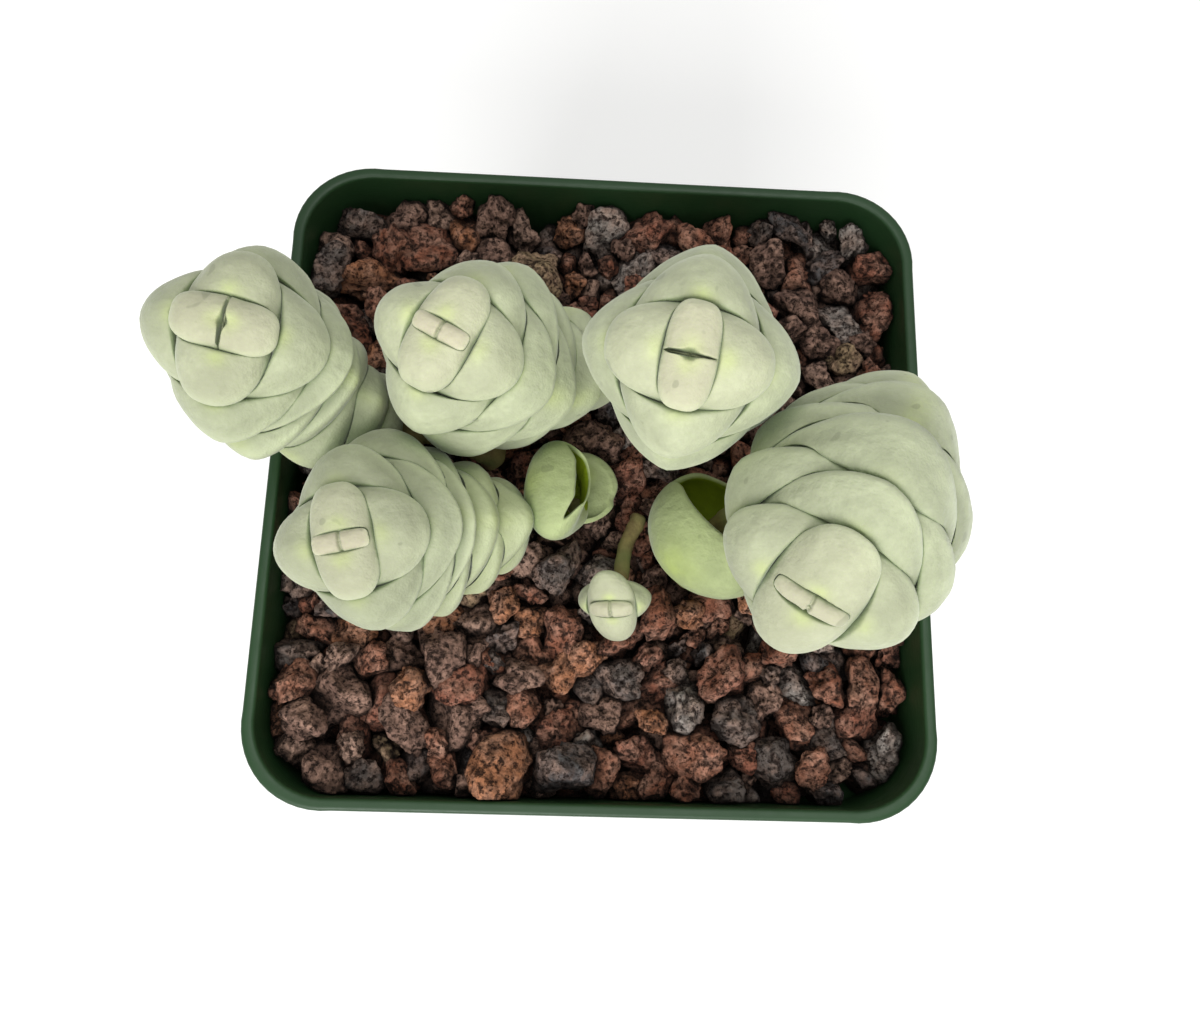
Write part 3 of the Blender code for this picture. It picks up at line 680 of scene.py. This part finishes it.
def lava_material():
    """Porous lava: each stone has its own colour, with paler patches, and painted shade in its pores, its
    pits and the gaps between the stones.
    """
    n = Nodes("lava_stone")
    ramp = n.add("ShaderNodeValToRGB", Fac=n.attribute("stone"))
    ramp.color_ramp.interpolation = "CONSTANT"
    tones = [
        (0.00, (0.380, 0.145, 0.090)), (0.15, (0.280, 0.165, 0.125)), (0.31, (0.430, 0.180, 0.110)),
        (0.43, (0.175, 0.145, 0.130)), (0.52, (0.320, 0.120, 0.070)), (0.65, (0.420, 0.270, 0.205)),
        (0.77, (0.120, 0.112, 0.112)), (0.84, (0.520, 0.220, 0.110)), (0.92, (0.380, 0.335, 0.300)),
        (0.98, (0.450, 0.320, 0.180)),
    ]
    while len(ramp.color_ramp.elements) < len(tones):
        ramp.color_ramp.elements.new(0.5)
    for element, (position, colour) in zip(ramp.color_ramp.elements, tones):
        element.position = position
        element.color = (*colour, 1.0)
    base = ramp.outputs["Color"]
    grain = n.noise(1500.0, 6.0, 0.7)
    patches = n.noise(330.0, 3.0, 0.6)
    # paler patches, placed at random
    colour = n.mix(n.spread(patches, 0.4, 0.7, 0.0, 0.6), base, (0.62, 0.38, 0.28))
    colour = n.mix(n.spread(grain, 0.32, 0.60, 0.85, 0.0), colour, (0.030, 0.017, 0.012))
    hole = n.spread(n.noise(1200.0, 3.5, 0.7), 0.37, 0.49)
    # painted shade: the pores, which only the bump draws, near black
    colour = n.mix(n.math("SUBTRACT", 0.9, n.times(hole, 0.9)), colour, (0.014, 0.007, 0.005))
    # painted shade: the stone's pits near black
    colour = n.mix(n.times(n.attribute("pit"), 0.95), colour, (0.012, 0.006, 0.004))
    # painted shade: near black in the gaps between the stones
    colour = n.mix(n.spread(n.hollows(0.004), 0.15, 0.75, 0.92, 0.0), colour, (0.006, 0.003, 0.002))
    normal = n.bump(grain, 0.9, 0.0006)
    normal = n.bump(hole, 0.9, 0.0006, normal)
    n.set(Base_Color=colour, Normal=normal, Roughness=0.92, Specular_IOR_Level=0.2)
    return n.material


def fill_material():
    n = Nodes("gravel_fill")
    grain = n.noise(700.0, 5.0, 0.7)
    # painted shade: near black, the colour of the deep gaps under the top stones
    colour = n.mix(n.spread(grain, 0.35, 0.65), (0.010, 0.007, 0.006), (0.05, 0.03, 0.024))
    n.set(Base_Color=colour, Normal=n.bump(grain, 0.8, 0.001), Roughness=1.0, Specular_IOR_Level=0.1)
    return n.material


def pot_material():
    """Dark green polypropylene with a satin skin, faint flow marks, and painted highlight on its lip and
    edges.
    """
    n = Nodes("pot_green_plastic")
    cloud = n.noise(60.0, 3.0, 0.5)
    colour = n.mix(n.spread(cloud, 0.35, 0.65), (0.010, 0.030, 0.010), (0.015, 0.043, 0.015))
    # painted highlight: paler green on the rim and the lip's edges
    colour = n.mix(n.times(n.attribute("edge_highlight"), 0.5), colour, (0.020, 0.060, 0.020))
    marks = n.noise(420.0, 6.0, 0.7, n.stretched((1.0, 1.0, 6.0)))
    normal = n.bump(marks, 0.12, 0.0002)
    normal = n.bump(cloud, 0.2, 0.0008, normal)
    n.set(Base_Color=colour, Normal=normal, Roughness=n.spread(marks, 0.3, 0.7, 0.34, 0.52))
    n.set(Specular_IOR_Level=0.35)
    return n.material


LEAF = leaf_material(
    "crassula_leaf", body=(0.445, 0.485, 0.315), fresh=(0.55, 0.48, 0.36), spot_colour=(0.56, 0.64, 0.25)
)
CUP_LEAF = leaf_material(
    "crassula_loose_leaf", body=(0.37, 0.43, 0.21), fresh=(0.38, 0.44, 0.22),
    spot_colour=(0.44, 0.54, 0.13), inside=(0.22, 0.30, 0.008),
)
BARK = bark_material()
LAVA = lava_material()
BED = fill_material()
GREEN = pot_material()

# ---------------------------------------------------------------- columns


def finish_piece(obj, node):
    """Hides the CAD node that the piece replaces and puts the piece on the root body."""
    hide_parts(node)
    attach(obj, "root")


def stem_radius(spec):
    return OFFSET_STEM_R if "scale" in spec else STEM_R


def add_stem(name, axis, start, radius):
    """A stem with slight swellings at its old leaf scars."""
    length = axis["length"] - start
    count = max(LEAST_STEM_RINGS, int(length / STEM_STEP))
    angle = round_angles(STEM_SIDES)
    rows = []
    for at in np.linspace(start, axis["length"], count):
        part = (at - start) / length
        scar = SCAR * max(0.0, math.cos(at * 2 * math.pi / SCAR_PITCH)) ** SCAR_POWER
        r = radius * (1 - STEM_TAPER * (1 - part) + scar)
        centre, side, other = (read_along(at, axis["s"], axis[key]) for key in ("curve", "side", "other"))
        rows.append(centre + r * np.outer(np.cos(angle), side) + r * np.outer(np.sin(angle), other))
    ends = [rows[0].mean(0)[None], rows[-1].mean(0)[None]]
    points = np.vstack([ends[0], *rows, ends[1]])
    counts = [1] + [STEM_SIDES] * count + [1]
    obj = make_mesh(name + "_bark", points, lofted(counts), [BARK])
    push_out(obj, 0.12 * lumps(points, 1.3, 3) + 0.12 * lumps(points, 3.5, 4))
    return obj


def cup_shell(cup, hole):
    """A loose pair: two rounded leaves joined into a bag round the stem, with a notch at each joint."""
    angle = round_angles(SEGMENTS)
    notch = CUP_NOTCH * np.exp(-((np.cos(angle) / CUP_NOTCH_WIDTH) ** 2))
    last = math.radians(cup["close"]) * (1 - notch) - math.radians(cup["skew"]) * np.cos(angle)
    widest = math.sin(min(math.radians(cup["close"]), math.pi / 2))
    middle = cup["half"] * cup["depth"]
    rings = []
    inside = []
    out = []

    def ring(part, inset, share):
        across = cup["half"] - inset
        first = math.asin(hole / across)
        turn = first + (last - first) * part
        r = across * np.sin(turn) / widest
        slim = 1 + (cup["slim"] - 1) * np.sin(np.minimum(turn, math.pi / 2)) ** 2
        x = r * slim * np.cos(angle) - cup["bulge"] * (np.sin(turn) - np.sin(first))
        rings.append(np.stack([x, r * np.sin(angle), middle - (middle - inset) * np.cos(turn)], axis=1))
        inside.append(np.full(SEGMENTS, share))
        out.append(np.full(SEGMENTS, part))

    steps = np.linspace(0, CUP_LIP_FROM, CUP_STEPS)
    # shade sets how much of the inside colour, olive with painted shade, the inner face gets
    shade = cup.get("shade", 1.0)
    for part in steps:
        ring(part, CUP_WALL, shade)
    for part, wall, share in CUP_LIP:
        ring(part, CUP_WALL * wall, share * shade)
    for part in steps[::-1]:
        ring(part, 0.0, 0.0)
    out = np.concatenate(out)
    crest = np.exp(-((np.sin(np.tile(angle, len(rings))) / CUP_CREST_WIDTH) ** 2))
    values = dict(
        inside=np.concatenate(inside),
        spot=crest * np.exp(-(((out - CUP_SPOT) / CUP_SPOT_LENGTH) ** 2)),
        margin=out,
    )
    return np.vstack(rings), [SEGMENTS] * len(rings), values


def add_cup(name, at, cup, hole):
    """A loose pair round the stem at a point of its axis, turned to its own facing."""
    points, counts, values = cup_shell(cup, hole)
    turn = math.radians(cup["turn"])
    facing = np.array(cup["facing"]) / np.linalg.norm(cup["facing"])
    east = np.array([1.0, 0.0, 0.0]) - facing * facing[0]
    east /= np.linalg.norm(east)
    side = math.cos(turn) * east + math.sin(turn) * np.cross(facing, east)
    base = np.add(at, (0, 0, RIM_Z)) - facing * CUP_WALL / 2
    placed = base + points @ np.array([side, np.cross(facing, side), facing])
    obj = make_mesh(name + "_leaves", placed, lofted(counts, back_to_first=True), [CUP_LEAF], values)
    push_out(obj, 0.1 * lumps(placed, 3.5, 5))
    return obj


def add_closed_pairs(name, spec, axis, seed):
    """The bud and the pairs below it; gives the distance along the axis to their lowest point."""
    scale = spec.get("scale", 1.0)
    pairs = column_pairs(spec)
    shells = [pair_shell(pairs, k, scale) for k in range(len(pairs))]
    ages = [pair["age"] for pair in pairs]
    bud = leaf_object(name + "_bud_leaves", shells[:2], axis, seed, ages[:2], spec)
    finish_piece(bud, name + "_bud")
    first = 2
    while first < len(pairs):
        single = first - 2 < spec["single"] or first == len(pairs) - 1
        last = first if single else first + 1
        node = f"{name}_pair_{first - 1:02d}" + ("" if single else f"_{last - 1:02d}")
        held = slice(first, last + 1)
        leaves = leaf_object(node + "_leaves", shells[held], axis, seed + first, ages[held], spec)
        finish_piece(leaves, node)
        first = last + 1
    return -float(under_side(pairs[-1], np.zeros(1), np.zeros(1))[0])


def add_column(name, spec, seed):
    """A column's closed pairs, any loose pairs and the stem below them."""
    axis = axis_curve(spec["axis"], spec["turn"])
    start = 0.0
    if spec["pairs"]:
        start = add_closed_pairs(name, spec, axis, seed) - STEM_IN_LEAF
    radius = stem_radius(spec)
    for i, cup in enumerate(spec["cups"]):
        node = f"{name}_loose_pair_{i + 1}"
        leaves = add_cup(node, spec["axis"][cup["point"]], cup, radius + CUP_AIR)
        finish_piece(leaves, node)
    stem = add_stem(name + "_stem", axis, start, radius)
    finish_piece(stem, name + "_stem")
    return axis


# ---------------------------------------------------------------- pot

# The pot's sizes, as in its CAD node.
POT_BASE_WIDTH = 63.0
POT_CORNER_R = 12.0
POT_BASE_CORNER_R = 9.0
POT_WALL = 1.6
POT_FLOOR = 2.2
LIP_WIDTH = 1.6
LIP_HEIGHT = 3.2
LIP_OVERHANG = 0.5
LIP_EAR = 0.6
INNER_EAR = 0.6 * LIP_EAR
COLLAR_HEIGHT = 16.0
COLLAR_STEP = 1.5
DRAIN_R = 4.0
DRAIN_OFFSET = 20.0

# What only the look has: the mesh, the rounded edges, and a slight waviness of the rim.
CORNER_STEPS = 14
SIDE_STEPS = 26
DRAIN_SIDES = 40
FLAT_INSET = 3.0
EDGE_ROUNDING = 0.6
MOST_ROUNDING = 0.45
ROUNDING_STEPS = 4
WARP = 0.22
WARP_SIZE = 34.0


def rounded_square(half, corner, z, ear=0.0, steps=CORNER_STEPS, side_steps=SIDE_STEPS):
    """A closed ring of points round a square with round corners; ear pushes the corners out."""
    ring = []
    for quarter in range(4):
        sx = 1 if quarter in (0, 3) else -1
        sy = 1 if quarter in (0, 1) else -1
        for i in range(steps + 1):
            turn = (quarter + i / steps) * math.pi / 2
            out = corner + ear * math.sin(math.pi * i / steps)
            x = sx * (half - corner) + out * math.cos(turn)
            y = sy * (half - corner) + out * math.sin(turn)
            ring.append((x, y, z))
        straight = 2 * (half - corner)
        for i in range(1, side_steps):
            turn = (quarter + 1) * math.pi / 2
            back = straight * i / side_steps
            ring.append((x - math.sin(turn) * back, y + math.cos(turn) * back, z))
    return np.array(ring)


def wall_half(z):
    top = POT_WIDTH / 2 - LIP_OVERHANG - COLLAR_STEP
    return POT_BASE_WIDTH / 2 + (top - POT_BASE_WIDTH / 2) * z / (RIM_Z - COLLAR_HEIGHT)


def corner_at(z, inset=0.0):
    share = min(1.0, z / RIM_Z)
    return POT_BASE_CORNER_R + (POT_CORNER_R - POT_BASE_CORNER_R) * share - inset


def rounded_profile(stations):
    """Rounds the corners of a profile of (half, corner, z, ear, painted highlight share) stations with
    small arcs.
    """
    out = [stations[0]]
    for a, b, c in zip(stations, stations[1:], stations[2:]):
        a, b, c = (np.array(s, float) for s in (a, b, c))
        before = np.linalg.norm((a - b)[[0, 2]])
        after = np.linalg.norm((c - b)[[0, 2]])
        cut_a = b + (a - b) * min(MOST_ROUNDING, EDGE_ROUNDING / before)
        cut_c = b + (c - b) * min(MOST_ROUNDING, EDGE_ROUNDING / after)
        for i in range(ROUNDING_STEPS + 1):
            t = i / ROUNDING_STEPS
            out.append((1 - t) ** 2 * cut_a + 2 * t * (1 - t) * b + t**2 * cut_c)
    out.append(stations[-1])
    return [tuple(float(v) for v in s) for s in out]


def pot_profile(collar_z):
    """The wall's stations (half, corner, z, ear, painted highlight share) from the inside, over the lip,
    to the base.
    """
    half = POT_WIDTH / 2
    lip_z = RIM_Z - LIP_HEIGHT
    mouth = half - LIP_WIDTH
    mouth_corner = corner_at(RIM_Z, LIP_WIDTH)
    base = wall_half(0)
    floor_half = wall_half(POT_FLOOR) - POT_WALL
    return [
        (floor_half - FLAT_INSET, corner_at(POT_FLOOR, POT_WALL + FLAT_INSET), POT_FLOOR, 0.0, 0.0),
        (floor_half, corner_at(POT_FLOOR, POT_WALL), POT_FLOOR, 0.0, 0.0),
        (wall_half(collar_z) - POT_WALL, corner_at(collar_z, POT_WALL), collar_z, 0.0, 0.0),
        (mouth, mouth_corner, collar_z + POT_WALL, 0.0, 0.0),
        (mouth, mouth_corner, RIM_Z, INNER_EAR, 1.0),
        (half, POT_CORNER_R, RIM_Z, LIP_EAR, 1.0),
        (half, POT_CORNER_R, lip_z, LIP_EAR, 0.35),
        (half - LIP_OVERHANG, corner_at(lip_z, LIP_OVERHANG), lip_z, 0.0, 0.0),
        (half - LIP_OVERHANG, corner_at(collar_z), collar_z, 0.0, 0.15),
        (wall_half(collar_z), corner_at(collar_z), collar_z, 0.0, 0.0),
        (base, corner_at(0), 0.0, 0.0, 0.3),
        (base - FLAT_INSET, corner_at(0, FLAT_INSET), 0.0, 0.0, 0.0),
    ]


def drill_drains(pot):
    """Cuts the four drainage holes through the floor."""
    cutters = []
    for x, y in ((1, 1), (-1, 1), (-1, -1), (1, -1)):
        bpy.ops.mesh.primitive_cylinder_add(
            vertices=DRAIN_SIDES,
            radius=DRAIN_R * MM,
            depth=4 * POT_FLOOR * MM,
            location=(x * DRAIN_OFFSET * MM, y * DRAIN_OFFSET * MM, POT_FLOOR / 2 * MM),
        )
        cutter = bpy.context.active_object
        cut = pot.modifiers.new(f"drain_{len(cutters) + 1}", "BOOLEAN")
        cut.operation = "DIFFERENCE"
        cut.solver = "EXACT"
        cut.object = cutter
        cutters.append(cutter)
    graph = bpy.context.evaluated_depsgraph_get()
    cut_mesh = bpy.data.meshes.new_from_object(pot.evaluated_get(graph))
    pot.modifiers.clear()
    pot.data = cut_mesh
    for cutter in cutters:
        bpy.data.objects.remove(cutter, do_unlink=True)


def add_pot():
    """The moulded pot, its collar and lip slightly wavy."""
    collar_z = RIM_Z - COLLAR_HEIGHT
    profile = rounded_profile(pot_profile(collar_z))
    rings = [rounded_square(half, corner, z, ear) for half, corner, z, ear, _ in profile]
    # the share of painted highlight at each station, most on the rim
    edge_highlight = [np.full(len(ring), station[4]) for ring, station in zip(rings, profile)]
    points = np.vstack([[[0.0, 0.0, POT_FLOOR]], *rings, [[0.0, 0.0, 0.0]]])
    warp_share = np.clip((points[:, 2] - collar_z) / COLLAR_HEIGHT, 0, 1) ** 1.5
    points[:, 2] += WARP * warp_share * lumps(points * (1, 1, 0), WARP_SIZE, 2)
    faces = lofted([1] + [len(ring) for ring in rings] + [1])
    values = dict(edge_highlight=np.concatenate([[0.0], *edge_highlight, [0.0]]))
    pot = make_mesh("pot_shell", points, faces, [GREEN], values, sharp_deg=50.0)
    drill_drains(pot)
    finish_piece(pot, "pot")


# ---------------------------------------------------------------- gravel

# The loose stones: how many, how deep they lie, and how far they may stand up beside the wall.
STONE_SEED = 11
STONE_COUNT = 850
LAYER_DEPTH = 11.0
STONES_TOP = RIM_Z - 3.2
STONE_UNEVEN = (-0.9, 0.5)
WALL_RISE = 1.3
WALL_POWER = 6
WALL_AIR = 0.2
EVEN_SPREAD = (0.7548777, 0.5698403)

# How they settle: they fall, then are pushed apart and back from the stems, cups and walls.
SETTLE_STEPS = 170
FALL_STEPS = 130
FALL = 0.06
PACKED = 0.93
LEANING = 0.9
APART_SHARE = 0.34
ASIDE_SHARE = 0.8

# A stone's shape: flat breaks, waves as (waves round it, height), bubbles, and how finely it is cut.
FINE_STONE = 11
COARSE_STONE = 4
SEEN_DEPTH = 3.8
STONE_FLATS = 13
MOST_BULGE = 1.25
STONE_WAVES = ((2.6, 0.11), (5.5, 0.075), (11.0, 0.05), (19.0, 0.028))
WAVES_EACH = 7
WAVES_EVENED = 2.6
STONE_PITS = 46
MEAN_STONE_R = 2.6
PIT_DEPTH = 0.22
MOST_TRIANGLES = 190000

FILL_AIR = 0.4


def inside_push(points, half, corner, r):
    """How far things of radius r have to move in plan to be inside the rounded square."""
    core = half - corner
    out = points[:, :2] - np.clip(points[:, :2], -core, core)
    away = np.hypot(out[:, 0], out[:, 1])
    over = np.maximum(away + r - corner, 0)
    return -out / np.maximum(away, 1e-6)[:, None] * over[:, None]


def stone_radii(size):
    """Radii in millimetres for sizes from 0 to 1: three in ten are chips and two in ten are large."""
    chips = 1.3 + 2.2 * size
    middling = 1.95 + 1.8 * (size - 0.3)
    large = 2.85 + 4.5 * (size - 0.8)
    return np.select([size < 0.3, size < 0.8], [chips, middling], large)


def pushed_apart(place, others, reach):
    """The sum of the pushes that each place gets from others that lie nearer than their reach."""
    apart = place[:, None] - others[None]
    distance = np.sqrt((apart**2).sum(2)) + 1e-9
    over = np.maximum(reach - distance, 0)
    return (apart * (over / distance)[..., None]).sum(1)


def settle_stones(rng, obstacles):
    """Middles and radii of stones that were poured into the pot and shaken down."""
    half = POT_WIDTH / 2 - LIP_WIDTH
    corner = corner_at(RIM_Z, LIP_WIDTH)
    floor = STONES_TOP - LAYER_DEPTH
    radius = stone_radii(rng.random(STONE_COUNT))
    even = np.arange(STONE_COUNT)[:, None] * np.array(EVEN_SPREAD) % 1 * 2 - 1
    height = floor + rng.uniform(0, 1.4, (STONE_COUNT, 1)) * LAYER_DEPTH
    place = np.hstack([even * (half - 1.5), height])
    fixed = np.array([obstacle[:3] for obstacle in obstacles])
    fixed_r = np.array([obstacle[3] for obstacle in obstacles])
    reach = PACKED * (radius[:, None] + radius[None, :])
    np.fill_diagonal(reach, 0)
    near_wall = (np.abs(place[:, :2]).max(axis=1) / half) ** WALL_POWER
    uneven = rng.uniform(*STONE_UNEVEN, STONE_COUNT)
    ceiling = STONES_TOP - 0.85 * radius + uneven + WALL_RISE * near_wall
    for step in range(SETTLE_STEPS):
        if step < FALL_STEPS:
            place[:, 2] -= FALL
        place += pushed_apart(place, place, reach) * APART_SHARE
        place += pushed_apart(place, fixed, LEANING * radius[:, None] + fixed_r) * ASIDE_SHARE
        place[:, :2] += inside_push(place, half, corner, LEANING * radius)
        place[:, 2] = np.clip(place[:, 2], floor + 0.6 * radius, ceiling)
    return place, radius


def cube_sphere(cuts):
    """Unit directions and quads of a cube blown up to a sphere."""
    bm = bmesh.new()
    bmesh.ops.create_cube(bm, size=2.0)
    bmesh.ops.subdivide_edges(bm, edges=bm.edges[:], cuts=cuts - 1, use_grid_fill=True)
    directions = np.array([v.co.normalized() for v in bm.verts])
    bm.verts.index_update()
    faces = np.array([[v.index for v in f.verts] for f in bm.faces])
    bm.free()
    return directions, faces


def random_turn(rng):
    """A rotation matrix, any turn being as likely as any other."""
    w, x, y, z = rng.normal(size=4)
    return np.array(Quaternion((w, x, y, z)).normalized().to_matrix())


def unit_vectors(rng, count):
    v = rng.normal(size=(count, 3))
    return v / np.linalg.norm(v, axis=1)[:, None]


def stone_shape(rng, directions, radius, pits):
    """A broken lump of lava: flat breaks with worn edges, rough skin and open bubbles."""
    flats = unit_vectors(rng, STONE_FLATS)
    depth = rng.uniform(0.62, 1.0, STONE_FLATS)
    facing = directions @ flats.T
    r = np.min(np.where(facing > 0.05, depth / np.maximum(facing, 0.05), 9.0), axis=1)
    r = np.minimum(r, MOST_BULGE)
    for size, height in STONE_WAVES:
        waves = unit_vectors(rng, WAVES_EACH) * size * rng.uniform(0.7, 1.3, (WAVES_EACH, 1))
        shift = rng.uniform(0, 2 * math.pi, WAVES_EACH)
        r = r + height * np.sin(directions @ waves.T + shift).sum(1) / WAVES_EVENED
    pit = np.zeros(len(directions))
    if pits:
        spots = unit_vectors(rng, STONE_PITS)
        wide = rng.uniform(0.10, 0.30, STONE_PITS) * MEAN_STONE_R / radius
        angle = np.arccos(np.clip(directions @ spots.T, -1, 1)) / wide
        bowl = np.clip(1 - angle**2, 0, 1) ** 1.5 * rng.uniform(0.4, 1.0, STONE_PITS)
        pit = bowl.max(axis=1)
        r = r - PIT_DEPTH * pit * MEAN_STONE_R / radius * np.minimum(wide.mean() / 0.2, 1.2)
    stretch = np.array([rng.uniform(1.0, 1.4), 1.0, rng.uniform(0.7, 0.95)])
    stretch /= stretch.prod() ** (1 / 3)
    points = directions * r[:, None] * stretch * radius * 1.1
    return points @ random_turn(rng).T, pit


def laid_stones(rng, obstacles):
    """Every loose stone, from left to right, as (points, quads, tone, pits); those on top are finer."""
    place, radius = settle_stones(rng, obstacles)
    fine = cube_sphere(FINE_STONE)
    coarse = cube_sphere(COARSE_STONE)
    on_top = place[:, 2] + radius > STONES_TOP - SEEN_DEPTH
    mouth = POT_WIDTH / 2 - LIP_WIDTH - WALL_AIR
    corner = corner_at(RIM_Z, LIP_WIDTH) - WALL_AIR
    stones = []
    for i in np.argsort(place[:, 0]):
        directions, quads = fine if on_top[i] else coarse
        shape, pit = stone_shape(rng, directions, radius[i], on_top[i])
        shape = shape + place[i]
        shape[:, :2] += inside_push(shape, mouth, corner, 0.0)
        stones.append((shape, quads, np.full(len(shape), rng.random()), pit))
    return stones


def add_gravel(obstacles):
    """The loose stones, in as few pieces as the limit on triangles allows."""
    groups = [[]]
    triangles = 0
    for stone in laid_stones(np.random.default_rng(STONE_SEED), obstacles):
        if triangles > MOST_TRIANGLES:
            groups.append([])
            triangles = 0
        groups[-1].append(stone)
        triangles += 2 * len(stone[1])
    for number, stones in enumerate(groups, 1):
        starts = np.cumsum([0] + [len(points) for points, *_ in stones])
        points, quads, tone, pit = zip(*stones)
        faces = np.vstack([own + start for own, start in zip(quads, starts)]).tolist()
        values = dict(stone=np.concatenate(tone), pit=np.concatenate(pit))
        obj = make_mesh(f"gravel_stones_{number}", np.vstack(points), faces, [LAVA], values)
        finish_piece(obj, "gravel_bed")


def add_fill():
    """The unseen rest of the gravel, under the loose stones, coloured near black as painted shade."""
    top = STONES_TOP - LAYER_DEPTH + 1.0
    rings = []
    for z in (BED_BOTTOM, top):
        half = wall_half(z) - POT_WALL - FILL_AIR
        rings.append(rounded_square(half, corner_at(z, POT_WALL + FILL_AIR), z, steps=8, side_steps=10))
    rings.append(rounded_square(half * 0.5, corner_at(top) * 0.5, top, steps=8, side_steps=10))
    points = np.vstack([[[0, 0, BED_BOTTOM]], *rings, [[0, 0, top]]])
    counts = [1] + [len(ring) for ring in rings] + [1]
    faces = [face[::-1] for face in lofted(counts)]
    obj = make_mesh("gravel_fill", points, faces, [BED], sharp_deg=40.0)
    finish_piece(obj, "gravel_bed")


# ---------------------------------------------------------------- set, lights, camera

# Places, sizes and heights in metres, powers in watts.
FLOOR_SIZE = 8.0
FLOOR_DROP = 0.0002
WORLD_STRENGTH = 0.5
LIT_POINT = (0, 0, 0.1)
KEY_LIGHT = dict(place=(-0.10, -0.56, 0.48), size=0.40, power=4.5)
TOP_LIGHT = dict(place=(0.06, 0.02, 0.62), size=0.45, power=1.35)

# The photograph's camera: its place from the rim's centre in millimetres, and its turns in degrees.
CAMERA_PLACE = (-5.636, -35.725, 130.441)
CAMERA_ELEVATION = 76.2773
CAMERA_HEADING = 10.0819
CAMERA_ROLL = 11.8851
CAMERA_LENS = 30.0
CAMERA_SENSOR = 36.0
CAMERA_NEAR = 0.001


def add_stage():
    """The white ground, with a faint glow of its own as in a product picture."""
    n = Nodes("studio_floor")
    colour = n.mix(n.noise(3.0, 2.0, 0.5), (0.90, 0.90, 0.89), (0.93, 0.93, 0.92))
    n.set(Base_Color=colour, Roughness=0.9, Emission_Color=(1.0, 1.0, 0.99), Emission_Strength=0.15)
    bpy.ops.mesh.primitive_plane_add(size=FLOOR_SIZE, location=(0, 0, -FLOOR_DROP))
    floor = bpy.context.active_object
    floor.name = "studio_floor"
    floor.data.materials.append(n.material)


def add_area(name, place, size, power):
    """A square light that faces the lit point."""
    light = bpy.data.lights.new(name, "AREA")
    light.energy = power
    light.size = size
    obj = bpy.data.objects.new(name, light)
    obj.location = place
    obj.rotation_euler = (Vector(LIT_POINT) - Vector(place)).to_track_quat("-Z", "Y").to_euler()
    bpy.context.scene.collection.objects.link(obj)


def add_lights():
    world = bpy.data.worlds.new("studio")
    world.use_nodes = True
    background = world.node_tree.nodes["Background"]
    background.inputs["Color"].default_value = (1.0, 1.0, 1.0, 1.0)
    background.inputs["Strength"].default_value = WORLD_STRENGTH
    bpy.context.scene.world = world
    add_area("key_light", **KEY_LIGHT)
    add_area("top_light", **TOP_LIGHT)


def add_camera():
    camera = bpy.data.cameras.new("photo_camera")
    camera.sensor_width = CAMERA_SENSOR
    camera.lens = CAMERA_LENS
    camera.clip_start = CAMERA_NEAR
    x, y, over_rim = CAMERA_PLACE
    place = Matrix.Translation(Vector((x, y, RIM_Z + over_rim)) * MM)
    heading = Matrix.Rotation(-math.radians(CAMERA_HEADING), 4, "Z")
    tilt = Matrix.Rotation(math.radians(90 - CAMERA_ELEVATION), 4, "X")
    roll = Matrix.Rotation(math.radians(CAMERA_ROLL), 4, "Z")
    obj = bpy.data.objects.new("photo_camera", camera)
    obj.matrix_world = place @ heading @ tilt @ roll
    bpy.context.scene.collection.objects.link(obj)
    bpy.context.scene.camera = obj


def spheres_round(spec, axis):
    """Spheres (x, y, z, radius) that fill a column's stem and its loose pairs."""
    spheres = [(*point, stem_radius(spec)) for point in axis["curve"][::4]]
    for cup in spec["cups"]:
        x, y, z = spec["axis"][cup["point"]]
        spheres.append((x, y, z + RIM_Z + cup["half"], cup["half"]))
    return spheres


def main():
    add_camera()
    add_lights()
    add_stage()
    obstacles = []
    for seed, (name, spec) in enumerate(COLUMNS.items()):
        axis = add_column(name, spec, 20 * seed)
        obstacles += spheres_round(spec, axis)
    add_pot()
    add_fill()
    add_gravel(obstacles)
    bpy.context.scene.view_settings.view_transform = "Standard"
    bpy.context.view_layer.update()


main()
